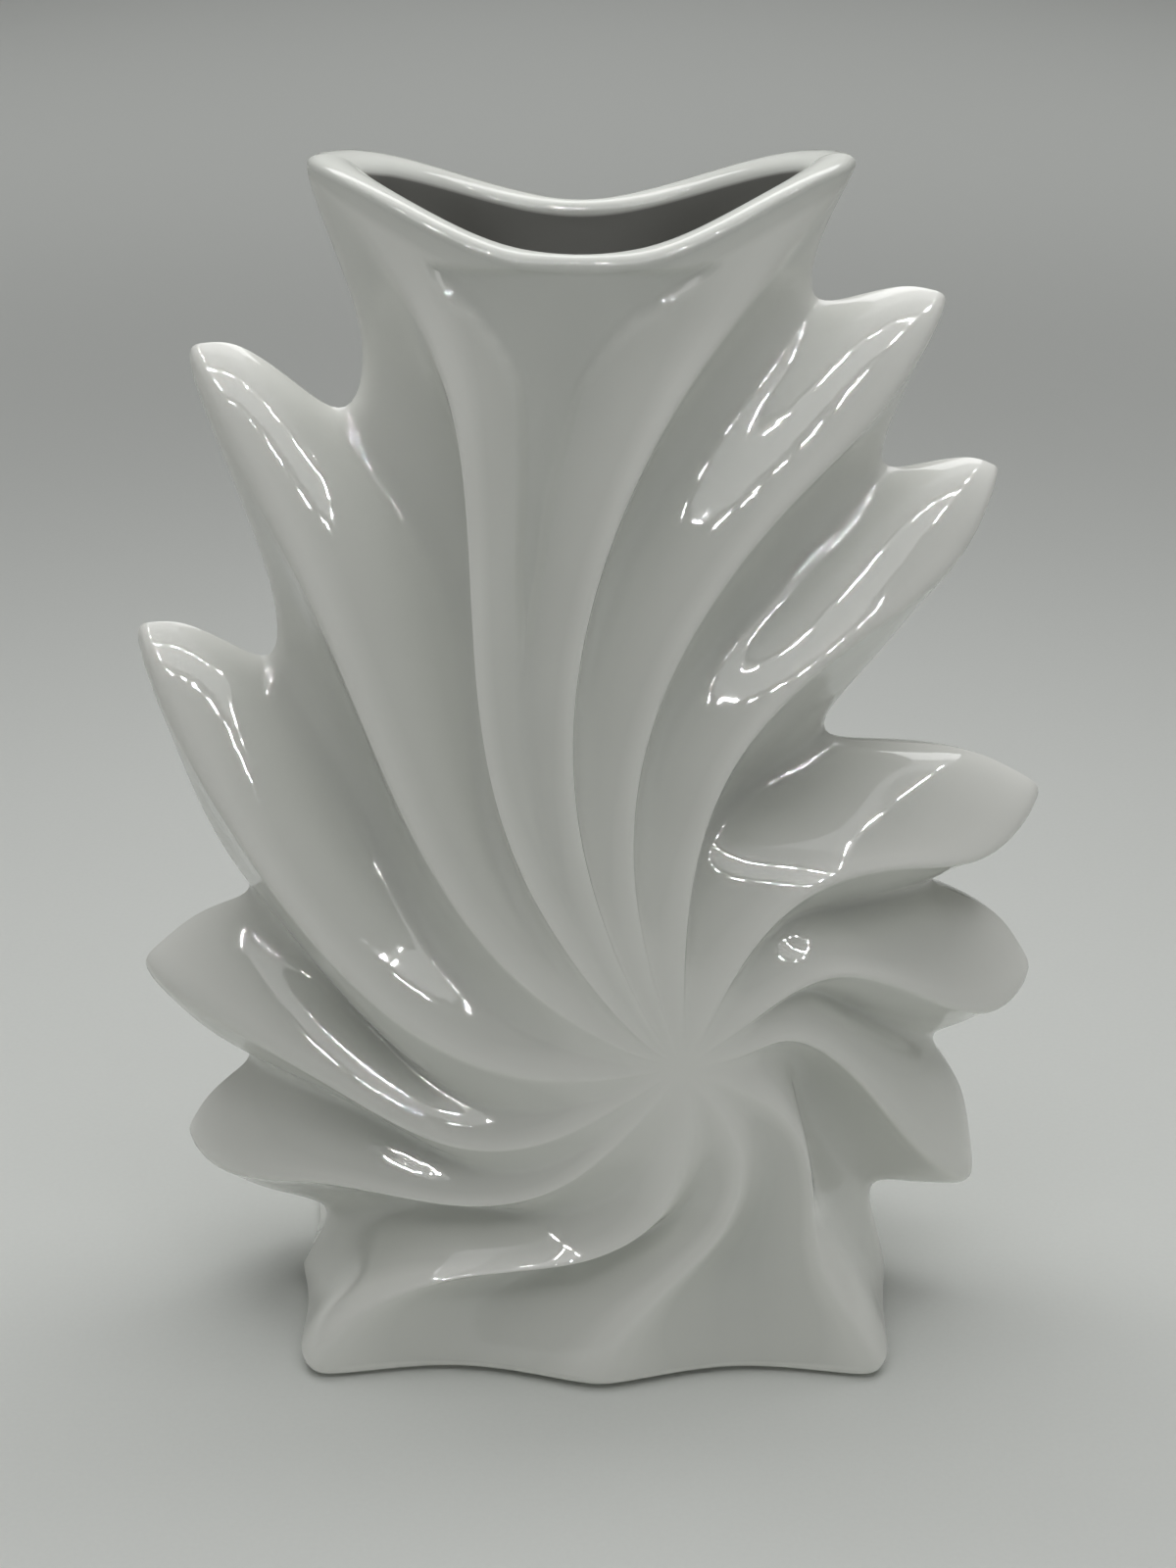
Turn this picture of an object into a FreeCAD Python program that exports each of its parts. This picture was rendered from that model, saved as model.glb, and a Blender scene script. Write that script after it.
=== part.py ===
import FreeCAD, Part
import Sketcher
import math
import os

# Fan vase of glazed porcelain. Fourteen ribs turn out of one hub low on the face and run into petals
# on the mould seam, into the two ends of the mouth, and down to the foot. The back mirrors the front.
# X is to the right, Y to the back, Z up. The seam between the two moulded halves is the plane Y = 0,
# and the origin is the middle of the foot on the table.

os.makedirs("parts", exist_ok=True)
doc = FreeCAD.newDocument("fan_vase")
Vector = FreeCAD.Vector

SIZES = [
    ("relief_half_width", 93),
    ("relief_depth", 42),
    ("vase_height", 254),
    ("hub_side", 19.5),
    ("hub_depth", 37.5),
    ("hub_rise", 74),
    ("hub_radius", 3),
    ("root_radius", 11),
    ("root_swell", 1),
    ("rib_shoulder", 3.2),
    ("petal_edge", 3),
    ("panel_depth", 26),
    ("panel_rise", 238),
    ("mouth_centre", -1.5),
    ("mouth_half_width", 54),
    ("mouth_dip", 16.5),
    ("wall", 5),
    ("notch_wall", 7),
    ("mouth_end_wall", 9),
    ("foot_centre", 1),
    ("ring_inset", 7),
    ("foot_ring_band", 5),
    ("foot_ring_height", 1),
    ("foot_ring_corner", 12),
    ("plate_inset", 12),
    ("plate_corner", 9),
    ("plate_seat", 4),
    ("plate_thickness", 5),
    ("overrun", 10),
]

# Where the foot's two sides and its front corners stand on the table, as shares of half width and
# depth. The ring and the floor plate keep their insets from these.
FOOT_REACH_SHARE = 0.71
FOOT_FRONT_SHARE = 0.96
FITTED_SIZES = [
    ("foot_ring_length", "=2 * (%s * relief_half_width - ring_inset)" % FOOT_REACH_SHARE),
    ("foot_ring_width", "=2 * (%s * relief_depth - ring_inset)" % FOOT_FRONT_SHARE),
    ("plate_length", "=2 * (%s * relief_half_width - plate_inset)" % FOOT_REACH_SHARE),
    ("plate_width", "=2 * (%s * relief_depth - plate_inset)" % FOOT_FRONT_SHARE),
]

sheet = doc.addObject("Spreadsheet::Sheet", "sizes")
for row, (alias, value) in enumerate(SIZES + FITTED_SIZES, start=1):
    sheet.set("A%d" % row, alias)
    sheet.set("B%d" % row, str(value))
    sheet.setAlias("B%d" % row, alias)
doc.recompute()


def size(alias):
    return float(sheet.get(alias))


half_width = size("relief_half_width")
depth = size("relief_depth")
height = size("vase_height")
overrun = size("overrun")
hub = Vector(size("hub_side"), -size("hub_depth"), size("hub_rise"))

# Each rib, clockwise from the left end of the mouth: where it leaves the hub, in degrees from +X,
# and its course from there to its tip as shares of half width, depth and height.
RIB_SHARES = [
    ("mouth_left", 150, ((-0.20, 0.93, 0.461), (-0.25, 0.83, 0.661), (-0.25, 0.69, 0.846),
                         (-0.44, 0.38, 0.949), (-0.62, 0.07, 1.012))),
    ("mouth_right", 133, ((-0.06, 0.90, 0.484), (-0.02, 0.83, 0.685), (0.18, 0.69, 0.846),
                          (0.41, 0.36, 0.933), (0.59, 0.07, 1.012))),
    ("right_top", 112, ((0.06, 0.90, 0.461), (0.14, 0.81, 0.626), (0.41, 0.60, 0.756),
                        (0.65, 0.29, 0.807), (0.77, 0.07, 0.890))),
    ("right_high", 92, ((0.20, 0.90, 0.433), (0.29, 0.81, 0.563), (0.56, 0.60, 0.642),
                        (0.82, 0.29, 0.677), (0.90, 0.07, 0.748))),
    ("right_middle", 65, ((0.32, 0.90, 0.386), (0.47, 0.79, 0.445), (0.69, 0.57, 0.449),
                          (0.92, 0.29, 0.413), (1.04, 0.07, 0.472))),
    ("right_low", 40, ((0.41, 0.90, 0.354), (0.55, 0.79, 0.374), (0.72, 0.60, 0.335),
                       (0.94, 0.29, 0.268), (1.03, 0.07, 0.303))),
    ("right_bottom", 12, ((0.40, 0.90, 0.319), (0.49, 0.83, 0.311), (0.62, 0.67, 0.256),
                          (0.78, 0.31, 0.138), (0.92, 0.07, 0.094))),
    ("foot_right", -20, ((0.44, 0.93, 0.260), (0.51, 0.95, 0.197), (0.50, 0.96, 0.105),
                         (0.69, 0.97, 0.030), (0.72, 0.96, -0.055))),
    ("foot_middle", -50, ((0.35, 0.95, 0.220), (0.33, 0.98, 0.150), (0.15, 1.02, 0.085),
                          (0.01, 1.08, 0.025), (-0.01, 1.07, -0.055))),
    ("foot_left", -78, ((0.22, 0.95, 0.165), (0.00, 0.98, 0.106), (-0.36, 0.96, 0.108),
                        (-0.65, 0.97, 0.045), (-0.70, 0.96, -0.055))),
    ("left_bottom", -125, ((-0.02, 0.93, 0.177), (-0.29, 0.86, 0.150), (-0.60, 0.64, 0.165),
                           (-0.86, 0.29, 0.122), (-0.95, 0.07, 0.146))),
    ("left_low", -150, ((-0.06, 0.93, 0.220), (-0.32, 0.86, 0.205), (-0.59, 0.64, 0.256),
                        (-0.87, 0.29, 0.287), (-1.04, 0.07, 0.311))),
    ("left_high", -172, ((-0.13, 0.93, 0.272), (-0.44, 0.86, 0.323), (-0.71, 0.64, 0.433),
                         (-0.91, 0.29, 0.543), (-1.01, 0.07, 0.618))),
    ("left_top", 165, ((-0.16, 0.93, 0.358), (-0.39, 0.83, 0.488), (-0.55, 0.64, 0.654),
                       (-0.73, 0.29, 0.760), (-0.87, 0.07, 0.850))),
]

# The outline on the seam between a rib and the next one, as shares of half width and height. On the
# right it is the underside of the petal above, the notch and the top edge of the petal below; on the
# left the same three in the other order. The mouth and the front of the foot have no outline.
OUTLINE_SHARES = {
    "mouth_right": ((0.48, 0.929), (0.46, 0.878), (0.67, 0.898)),
    "right_top": ((0.66, 0.799), (0.61, 0.744), (0.82, 0.760)),
    "right_high": ((0.66, 0.598), (0.46, 0.516), (0.85, 0.510)),
    "right_middle": ((0.85, 0.402), (0.75, 0.390), (0.94, 0.358)),
    "right_low": ((0.87, 0.252), (0.78, 0.244), (0.88, 0.189)),
    "right_bottom": ((0.77, 0.094), (0.65, 0.102), (0.72, 0.004)),
    "foot_left": ((-0.71, -0.004), (-0.59, 0.079), (-0.80, 0.094)),
    "left_bottom": ((-0.89, 0.185), (-0.76, 0.228), (-0.90, 0.252)),
    "left_low": ((-0.90, 0.358), (-0.74, 0.382), (-0.85, 0.429)),
    "left_high": ((-0.89, 0.622), (-0.68, 0.579), (-0.68, 0.646)),
    "left_top": ((-0.74, 0.854), (-0.51, 0.783), (-0.46, 0.846)),
}

# Across a flute, six lines lie between two ribs: their places along the way, and how much of the
# flute's depth each one has. The wall below the upper rib is steep, and the valley is a narrow crease.
RIGHT_PLACE_SHARES = (0.07, 0.18, 0.42, 0.52, 0.75, 0.91)
RIGHT_RELIEF_SHARES = (0.60, 0.92, 1.04, 0.94, 0.42, 0.06)
LEFT_PLACE_SHARES = tuple(1 - share for share in reversed(RIGHT_PLACE_SHARES))
LEFT_RELIEF_SHARES = tuple(reversed(RIGHT_RELIEF_SHARES))
PANEL_PLACE_SHARES = (0.10, 0.28, 0.42, 0.54, 0.74, 0.91)
PANEL_RELIEF_SHARES = (0.08, 0.56, 1.04, 1.00, 0.46, 0.06)
FOOT_PLACE_SHARES = (0.10, 0.25, 0.42, 0.58, 0.75, 0.90)
FOOT_RELIEF_SHARES = (0.10, 0.60, 1.00, 1.00, 0.60, 0.10)

# Along a flute, from the hub to the seam: its depth as a share of its width, and how far its lines
# have turned from the ribs towards the outline.
FLUTE_DEPTH_SHARES = (0.0, 0.03, 0.15, 0.20, 0.25)
TURN_SHARES = (0.0, 0.0, 0.08, 0.28, 0.62)
FOOT_FLUTE_DEPTH_SHARE = 0.07
FOOT_SIDE_SHARE = 0.75
EDGE_PLACE_SHARE = 0.60
EDGE_DEPTH_SHARE = 0.55
SHOULDER_LIMIT_SHARE = 0.50
EDGE_SHOULDER_SHARE = 1.3
TIP_UNDER_SHARE = 0.50
TIP_OVER_SHARE = 0.42

# The hollow: how far a rib's line draws in towards the hollow's own outline, row by row.
HOLLOW_TIP_SHARE = 0.35
HOLLOW_DRAW_SHARES = (0.0, 0.0, 0.0, 0.05, 0.25)
HOLLOW_PANEL_SHARES = (0.25, 0.50, 0.75)
HOLLOW_RELIEF_SHARE = 1.35
# Beside the foot the hollow lies one more wall inwards, and this is the way that it goes along X.
FOOT_SIDES = {"right_bottom": -1, "foot_right": -1, "foot_middle": 0, "foot_left": 1}

# The panel between the two mouth ribs rises like an arch across, cut level at its top, and the mouth
# is a saddle that flattens towards its two ends.
PANEL_LEVEL_SHARE = 1.3
SADDLE_SHARE = 2.0
SADDLE_STEPS = 12
HALF_SHARE = 0.5
UPRIGHT_SHARE = 0.99
MATCH_SHARE = 0.01


def between(start, end, share):
    return start + (end - start) * share


def on_seam(shares, at_depth):
    return Vector(shares[0] * half_width, at_depth, shares[1] * height)


def rib_line(angle, course):
    # Poles of one rib: hub, root, five along the course, and one behind the seam.
    turn = math.radians(angle)
    spoke = Vector(math.cos(turn), 0, math.sin(turn))
    poles = [hub + spoke * size("hub_radius")]
    poles.append(hub + spoke * size("root_radius") - Vector(0, size("root_swell"), 0))
    for side, forward, rise in course:
        poles.append(Vector(side * half_width, -forward * depth, rise * height))
    tip = poles[-1]
    drop = overrun if tip.z < 0 else 0
    poles.append(Vector(tip.x, size("petal_edge"), tip.z - drop))
    return poles


def shoulder_kept(point, crest, reach):
    # Draws a point in to its rib when it is further from it than the reach.
    way = point - crest
    if way.Length <= reach:
        return point
    return crest + way * (reach / way.Length)


def outline_points(name, first, second, on_right):
    # Six points along the seam between two petal tips.
    marks = [on_seam(shares, 0) for shares in OUTLINE_SHARES[name]]
    start = first[6]
    end = second[6]
    if on_right:
        under, notch, over = marks
        return [between(start, under, TIP_UNDER_SHARE), under, notch, between(notch, over, HALF_SHARE),
                over, between(end, over, TIP_OVER_SHARE)]
    over, notch, under = marks
    return [between(start, over, TIP_OVER_SHARE), over, between(notch, over, HALF_SHARE), notch,
            under, between(end, under, TIP_UNDER_SHARE)]


def inner_pole(first, second, row, place, relief, shift):
    # One pole of a flute, between the two ribs on rows 0 to 4.
    chord = second[row] - first[row]
    pole = first[row] + chord * place + shift
    pole.y = pole.y + FLUTE_DEPTH_SHARES[row] * chord.Length * relief - shift.y
    return pole


def petal_line(first, second, place, relief, mark):
    # Poles of a flute line that ends on the seam outline.
    straight = between(first[6], second[6], place)
    turn = Vector(mark.x - straight.x, 0, mark.z - straight.z)
    poles = []
    for row in range(5):
        poles.append(inner_pole(first, second, row, place, relief, turn * TURN_SHARES[row]))
    last = poles[4]
    edge = between(last, mark, EDGE_PLACE_SHARE)
    poles.append(Vector(edge.x, last.y * EDGE_DEPTH_SHARE, edge.z))
    poles.append(Vector(mark.x, -size("petal_edge"), mark.z))
    poles.append(Vector(mark.x, size("petal_edge"), mark.z))
    return poles


def foot_side_line(line, corner):
    # A flute line beside a front corner of the foot, led down through the floor part of the way back.
    side = line[6].x
    return line[:5] + [Vector(side, pole.y * FOOT_SIDE_SHARE, pole.z) for pole in corner[5:7]] + [
        Vector(side, size("petal_edge"), corner[7].z)]


def foot_line(first, second, place, relief):
    # Poles of a flute line that runs down through the floor.
    poles = [inner_pole(first, second, row, place, relief, Vector()) for row in range(5)]
    for row in (5, 6):
        chord = second[row] - first[row]
        pole = first[row] + chord * place
        pole.y = pole.y + FOOT_FLUTE_DEPTH_SHARE * chord.Length * relief
        poles.append(pole)
    poles.append(Vector(poles[6].x, size("petal_edge"), poles[6].z - overrun))
    return poles


def mouth_line(first, second, place, relief, front):
    # Poles of a flute line that runs up through the mouth and over to the seam. front is how far
    # the face stands forward of the seam at the rim.
    poles = [inner_pole(first, second, row, place, relief, Vector()) for row in range(5)]
    middle = min(1, PANEL_LEVEL_SHARE * 4 * place * (1 - place))
    tops = (Vector(0, -front, size("panel_rise")),
            Vector(0, -front + size("petal_edge"), height + overrun),
            Vector(0, size("petal_edge"), height + 2 * overrun))
    for row, top in zip((5, 6, 7), tops):
        side = between(first[row], second[row], place)
        poles.append(Vector(side.x, between(side, top, middle).y, between(side, top, middle).z))
    return poles


def flute_lines(index, ribs, front):
    # The six lines between one rib and the next.
    name = RIB_SHARES[index][0]
    first = ribs[index]
    second = ribs[(index + 1) % len(ribs)]
    if name in OUTLINE_SHARES:
        on_right = OUTLINE_SHARES[name][0][0] > 0
        places = RIGHT_PLACE_SHARES if on_right else LEFT_PLACE_SHARES
        reliefs = RIGHT_RELIEF_SHARES if on_right else LEFT_RELIEF_SHARES
        marks = outline_points(name, first, second, on_right)
        lines = [petal_line(first, second, place, relief, mark)
                 for place, relief, mark in zip(places, reliefs, marks)]
    elif name == "mouth_left":
        lines = [mouth_line(first, second, place, relief, front)
                 for place, relief in zip(PANEL_PLACE_SHARES, PANEL_RELIEF_SHARES)]
    else:
        lines = [foot_line(first, second, place, relief)
                 for place, relief in zip(FOOT_PLACE_SHARES, FOOT_RELIEF_SHARES)]
    shoulder = size("rib_shoulder")
    for line, crest in ((lines[0], first), (lines[-1], second)):
        for row in range(2, 5):
            reach = min(shoulder, (line[row] - crest[row]).Length * SHOULDER_LIMIT_SHARE)
            line[row] = shoulder_kept(line[row], crest[row], reach)
        line[5] = shoulder_kept(line[5], crest[5], shoulder * EDGE_SHOULDER_SHARE)
    if name == "foot_left":
        lines[0] = foot_side_line(lines[0], first)
    if name == "right_bottom":
        lines[-1] = foot_side_line(lines[-1], second)
    return lines


def relief_net():
    # All lines of the face, clockwise: each rib and then the six lines of its flute.
    ribs = [rib_line(angle, course) for name, angle, course in RIB_SHARES]
    net = []
    for index, rib in enumerate(ribs):
        net.append(rib)
        net.extend(flute_lines(index, ribs, size("panel_depth")))
    return net


def closed_blank(net):
    # A smooth closed surface through the net, shut with flat faces at the hub and behind the seam.
    across = len(net)
    along = len(net[0])
    surface = Part.BSplineSurface()
    surface.buildFromPolesMultsKnots(
        net, [1] * (across + 1), [4] + [1] * (along - 4) + [4],
        list(range(across + 1)), list(range(along - 2)), True, False, 3, 3)
    face = surface.toShape()
    rings = [edge for edge in face.Edges if edge.isClosed()]
    caps = [Part.Face(Part.Wire([ring])) for ring in rings]
    shell = Part.makeShell([face] + caps)
    shell.sewShape()
    solid = Part.makeSolid(shell)
    if solid.Volume < 0:
        solid.reverse()
    return solid


def hollow_end(last, mark, inset):
    # The last three poles of a hollow line, ending inside the outline by the inset.
    way = last - Vector(mark.x, last.y, mark.z)
    stop = Vector(mark.x, 0, mark.z) + Vector(way.x, 0, way.z) * (inset / way.Length)
    edge = between(last, stop, EDGE_PLACE_SHARE)
    return [Vector(edge.x, last.y * EDGE_DEPTH_SHARE, edge.z),
            Vector(stop.x, -size("petal_edge"), stop.z),
            Vector(stop.x, size("petal_edge"), stop.z)]


def foot_side(name, poles):
    # The line of the hollow, moved inwards where it runs beside the foot.
    step = FOOT_SIDES.get(name, 0) * size("wall")
    return poles[:2] + [Vector(pole.x + step, pole.y, pole.z) for pole in poles[2:]]


def hollow_rib(index, ribs):
    # The hollow's line behind a rib: level with the flutes beside it, and one wall behind them.
    name = RIB_SHARES[index][0]
    rib = ribs[index]
    before = ribs[index - 1]
    after = ribs[(index + 1) % len(ribs)]
    wall = size("wall")
    poles = []
    for row in range(5):
        span = max((before[row] - rib[row]).Length, (after[row] - rib[row]).Length)
        back = wall + HOLLOW_RELIEF_SHARE * FLUTE_DEPTH_SHARES[row] * span
        pole = between(rib[row], rib[max(row - 1, 0)], HOLLOW_DRAW_SHARES[row])
        poles.append(Vector(pole.x, rib[row].y + back, pole.z))
    if name in ("mouth_left", "mouth_right"):
        inward = 1 if name == "mouth_left" else -1
        end = size("mouth_end_wall")
        poles[3].x = poles[3].x + inward * wall
        poles[4] = Vector(rib[4].x + inward * wall, rib[4].y + wall, rib[4].z)
        poles.append(Vector(rib[5].x + inward * (wall + end) / 2, rib[5].y + wall, rib[5].z))
        poles.append(Vector(rib[6].x + inward * end, rib[6].y, rib[6].z + overrun / 2))
        poles.append(Vector(rib[7].x + inward * end, rib[7].y, rib[7].z + overrun))
        return poles
    if name in FOOT_SIDES:
        behind = rib[7].y
        poles += [Vector(pole.x, min(pole.y + wall, behind), pole.z) for pole in rib[5:]]
        return foot_side(name, poles)
    tip = rib[6]
    stop = between(poles[4], tip, HOLLOW_TIP_SHARE)
    return poles + hollow_end(poles[4], stop, 0)


def hollow_flute(index, ribs, inner_ribs):
    # The hollow's lines behind a flute: one on the valley, and more behind a panel or the neck.
    name = RIB_SHARES[index][0]
    first = ribs[index]
    second = ribs[(index + 1) % len(ribs)]
    wall = size("wall")
    lines = []
    if name == "mouth_left":
        inner_first = inner_ribs[index]
        inner_second = inner_ribs[(index + 1) % len(ribs)]
        for place in HOLLOW_PANEL_SHARES:
            low = mouth_line(first, second, place, HOLLOW_RELIEF_SHARE, 0)[:5]
            high = mouth_line(inner_first, inner_second, place, 0, size("panel_depth") - wall)[5:]
            lines.append([Vector(pole.x, pole.y + wall, pole.z) for pole in low] + high)
        return lines
    if name not in OUTLINE_SHARES:
        behind = size("petal_edge")
        for place in HOLLOW_PANEL_SHARES:
            line = foot_line(first, second, place, HOLLOW_RELIEF_SHARE)
            lines.append([Vector(pole.x, min(pole.y + wall, behind), pole.z) for pole in line])
        return lines
    on_right = OUTLINE_SHARES[name][0][0] > 0
    picks = [(1, RIGHT_PLACE_SHARES[2] if on_right else LEFT_PLACE_SHARES[3])]
    if name == "mouth_right":
        picks.insert(0, (0, RIGHT_PLACE_SHARES[1]))
    if name == "left_top":
        picks.append((2, LEFT_PLACE_SHARES[4]))
    for pick, place in picks:
        mark = on_seam(OUTLINE_SHARES[name][pick], 0)
        line = petal_line(first, second, place, HOLLOW_RELIEF_SHARE, mark)
        poles = [Vector(pole.x, pole.y + wall, pole.z) for pole in line[:5]]
        poles += hollow_end(poles[4], mark, size("notch_wall"))
        lines.append(foot_side(name, poles))
    return lines


def hollow_net():
    ribs = [rib_line(angle, course) for name, angle, course in RIB_SHARES]
    inner_ribs = [hollow_rib(index, ribs) for index in range(len(ribs))]
    net = []
    for index, rib in enumerate(inner_ribs):
        net.append(rib)
        net.extend(hollow_flute(index, ribs, inner_ribs))
    return net


def rim_height(side):
    # Height of the mouth's saddle at a place along X.
    share = min(1, abs(side - size("mouth_centre")) / size("mouth_half_width"))
    dip = 1 - SADDLE_SHARE * share ** 2 + (SADDLE_SHARE - 1) * share ** 4
    return height - size("mouth_dip") * dip


def front_room():
    # Everything in front of the seam, above the foot ring and below the mouth's saddle.
    reach = half_width + overrun
    left = size("mouth_centre") - size("mouth_half_width")
    right = size("mouth_centre") + size("mouth_half_width")
    sides = [between(left, right, step / SADDLE_STEPS) for step in range(SADDLE_STEPS + 1)]
    saddle = Part.BSplineCurve()
    saddle.interpolate([Vector(side, 0, rim_height(side)) for side in sides])
    floor = size("foot_ring_height")
    corners = [Vector(right, 0, height), Vector(reach, 0, height), Vector(reach, 0, floor),
               Vector(-reach, 0, floor), Vector(-reach, 0, height), Vector(left, 0, height)]
    edges = [saddle.toShape()]
    edges += [Part.makeLine(start, end) for start, end in zip(corners, corners[1:])]
    return Part.Face(Part.Wire(edges)).extrude(Vector(0, -depth - overrun, 0))


def fixed_shape(name, shape):
    # A document object that holds a shape worked out from the sheet.
    feature = doc.addObject("Part::Feature", name)
    feature.Shape = shape
    return feature


def boolean(kind, name, base, tool):
    feature = doc.addObject(kind, name)
    feature.Base = base
    feature.Tool = tool
    return feature


def rectangle_sketch(body, name, length, width):
    # A rectangle about the body's origin, with its sides bound to the sheet.
    sketch = body.newObject("Sketcher::SketchObject", name)
    floor_plane = [plane for plane in body.Origin.OriginFeatures if plane.Role == "XY_Plane"][0]
    sketch.AttachmentSupport = [(floor_plane, "")]
    sketch.MapMode = "FlatFace"
    side = half_width / 2
    end = depth / 2
    corners = [Vector(-side, -end, 0), Vector(side, -end, 0), Vector(side, end, 0), Vector(-side, end, 0)]
    for line in range(4):
        sketch.addGeometry(Part.LineSegment(corners[line], corners[(line + 1) % 4]), False)
    for line in range(4):
        sketch.addConstraint(Sketcher.Constraint("Coincident", line, 2, (line + 1) % 4, 1))
    for line in (0, 2):
        sketch.addConstraint(Sketcher.Constraint("Horizontal", line))
    for line in (1, 3):
        sketch.addConstraint(Sketcher.Constraint("Vertical", line))
    sketch.addConstraint(Sketcher.Constraint("Symmetric", 0, 1, 1, 2, -1, 1))
    along = sketch.addConstraint(Sketcher.Constraint("DistanceX", 0, 1, 0, 2, 2 * side))
    across = sketch.addConstraint(Sketcher.Constraint("DistanceY", 1, 1, 1, 2, 2 * end))
    sketch.setExpression("Constraints[%d]" % along, length)
    sketch.setExpression("Constraints[%d]" % across, width)
    return sketch


def upright_edges(shape, half_length):
    # Names of the shape's upright edges that stand at the given distance from its middle.
    names = []
    for index, edge in enumerate(shape.Edges, start=1):
        upright = abs(edge.tangentAt(edge.FirstParameter).z) > UPRIGHT_SHARE
        if upright and abs(abs(edge.CenterOfMass.x) - half_length) < MATCH_SHARE * half_length:
            names.append("Edge%d" % index)
    return names


def round_corners(body, name, base, half_length, radius):
    fillet = body.newObject("PartDesign::Fillet", name)
    fillet.Base = (base, upright_edges(base.Shape, half_length))
    fillet.setExpression("Radius", radius)
    doc.recompute()
    return fillet


def slab(name, length, width, thickness, corner):
    # A flat block with rounded corners, standing on its body's floor plane.
    body = doc.addObject("PartDesign::Body", name)
    pad = body.newObject("PartDesign::Pad", name + "_pad")
    pad.Profile = rectangle_sketch(body, name + "_outline", length, width)
    pad.setExpression("Length", thickness)
    doc.recompute()
    half_length = pad.Shape.BoundBox.XMax
    round_corners(body, name + "_corners", pad, half_length, corner)
    body.setExpression("Placement.Base.x", "sizes.foot_centre")
    return body


def front_shell():
    # The front half: the moulded face, hollowed, with its mouth cut and its foot left open below.
    face_blank = fixed_shape("face_blank", closed_blank(relief_net()))
    solid = boolean("Part::Common", "front_solid", face_blank, fixed_shape("front_room", front_room()))
    above = doc.addObject("Part::Box", "above_plate")
    above.setExpression("Length", "2 * (sizes.relief_half_width + sizes.overrun)")
    above.setExpression("Width", "2 * (sizes.relief_depth + sizes.overrun)")
    above.setExpression("Height", "sizes.vase_height + sizes.overrun")
    above.setExpression("Placement.Base.x", "-sizes.relief_half_width - sizes.overrun")
    above.setExpression("Placement.Base.y", "-sizes.relief_depth - sizes.overrun")
    above.setExpression("Placement.Base.z", "sizes.plate_seat + sizes.plate_thickness")
    hollow_blank = fixed_shape("hollow_blank", closed_blank(hollow_net()))
    hollow = boolean("Part::Common", "hollow", hollow_blank, above)
    opened = boolean("Part::Cut", "front_open", solid, hollow)
    well = slab("well", "sizes.plate_length", "sizes.plate_width",
                "sizes.plate_seat + sizes.plate_thickness", "sizes.plate_corner")
    return boolean("Part::Cut", "front_shell", opened, well)


def back_shell(front):
    mirror = doc.addObject("Part::Mirroring", "back_shell")
    mirror.Source = front
    mirror.Normal = Vector(0, 1, 0)
    return mirror


def base_plate():
    # The floor of the vase, seated between the two halves and clear of the table.
    body = slab("base_plate", "sizes.plate_length", "sizes.plate_width",
                "sizes.plate_thickness", "sizes.plate_corner")
    body.setExpression("Placement.Base.z", "sizes.plate_seat")
    return body


def foot_ring():
    # The dry ring that the vase stands on, ground flat.
    body = slab("foot_ring", "sizes.foot_ring_length", "sizes.foot_ring_width",
                "sizes.foot_ring_height", "sizes.foot_ring_corner")
    pocket = body.newObject("PartDesign::Pocket", "foot_ring_opening")
    pocket.Profile = rectangle_sketch(body, "foot_ring_inside",
                                      "sizes.foot_ring_length - 2 * sizes.foot_ring_band",
                                      "sizes.foot_ring_width - 2 * sizes.foot_ring_band")
    pocket.Type = "ThroughAll"
    pocket.Reversed = True
    doc.recompute()
    half_length = size("foot_ring_length") / 2 - size("foot_ring_band")
    round_corners(body, "foot_ring_inside_corners", pocket, half_length,
                  "sizes.foot_ring_corner - sizes.foot_ring_band")
    return body


front = front_shell()
pieces = [front, back_shell(front), base_plate(), foot_ring()]
doc.recompute()

for item in doc.Objects:
    for fault in ("Invalid", "Error"):
        if fault in item.State:
            raise RuntimeError("%s is %s" % (item.Label, fault))
for piece in pieces:
    if piece.Shape.isNull() or not piece.Shape.isValid() or piece.Shape.Volume <= 0:
        raise RuntimeError("%s has no sound shape" % piece.Label)
for piece in pieces:
    piece.Shape.exportStep("parts/%s.step" % piece.Label)
    print(piece.Label, len(piece.Shape.Solids), round(piece.Shape.Volume))
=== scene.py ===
import math

import bpy
import numpy as np
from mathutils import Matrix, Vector


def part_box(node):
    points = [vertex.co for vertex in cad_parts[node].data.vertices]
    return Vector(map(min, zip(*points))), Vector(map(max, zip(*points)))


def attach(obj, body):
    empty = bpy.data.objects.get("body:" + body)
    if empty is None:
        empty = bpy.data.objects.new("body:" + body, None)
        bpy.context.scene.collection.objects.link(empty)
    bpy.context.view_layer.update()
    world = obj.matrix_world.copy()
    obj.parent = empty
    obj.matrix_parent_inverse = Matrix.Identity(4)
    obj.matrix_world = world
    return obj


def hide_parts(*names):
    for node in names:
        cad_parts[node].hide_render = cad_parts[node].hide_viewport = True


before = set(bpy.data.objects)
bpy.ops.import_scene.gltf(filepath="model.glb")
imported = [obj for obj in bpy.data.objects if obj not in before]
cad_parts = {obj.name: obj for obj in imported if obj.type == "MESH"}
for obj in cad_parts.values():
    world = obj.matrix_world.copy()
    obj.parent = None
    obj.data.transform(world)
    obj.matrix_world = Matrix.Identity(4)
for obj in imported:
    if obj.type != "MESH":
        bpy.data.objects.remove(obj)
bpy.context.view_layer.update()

bl_info = {
    "name": "Fan Vase",
    "version": (1, 0, 0),
    "blender": (4, 5, 0),
    "location": "View3D > Sidebar > Fan Vase",
    "description": "Dresses the fan vase: two ribbed porcelain halves, a floor, a dry foot ring and a studio",
    "category": "Add Mesh",
}

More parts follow.
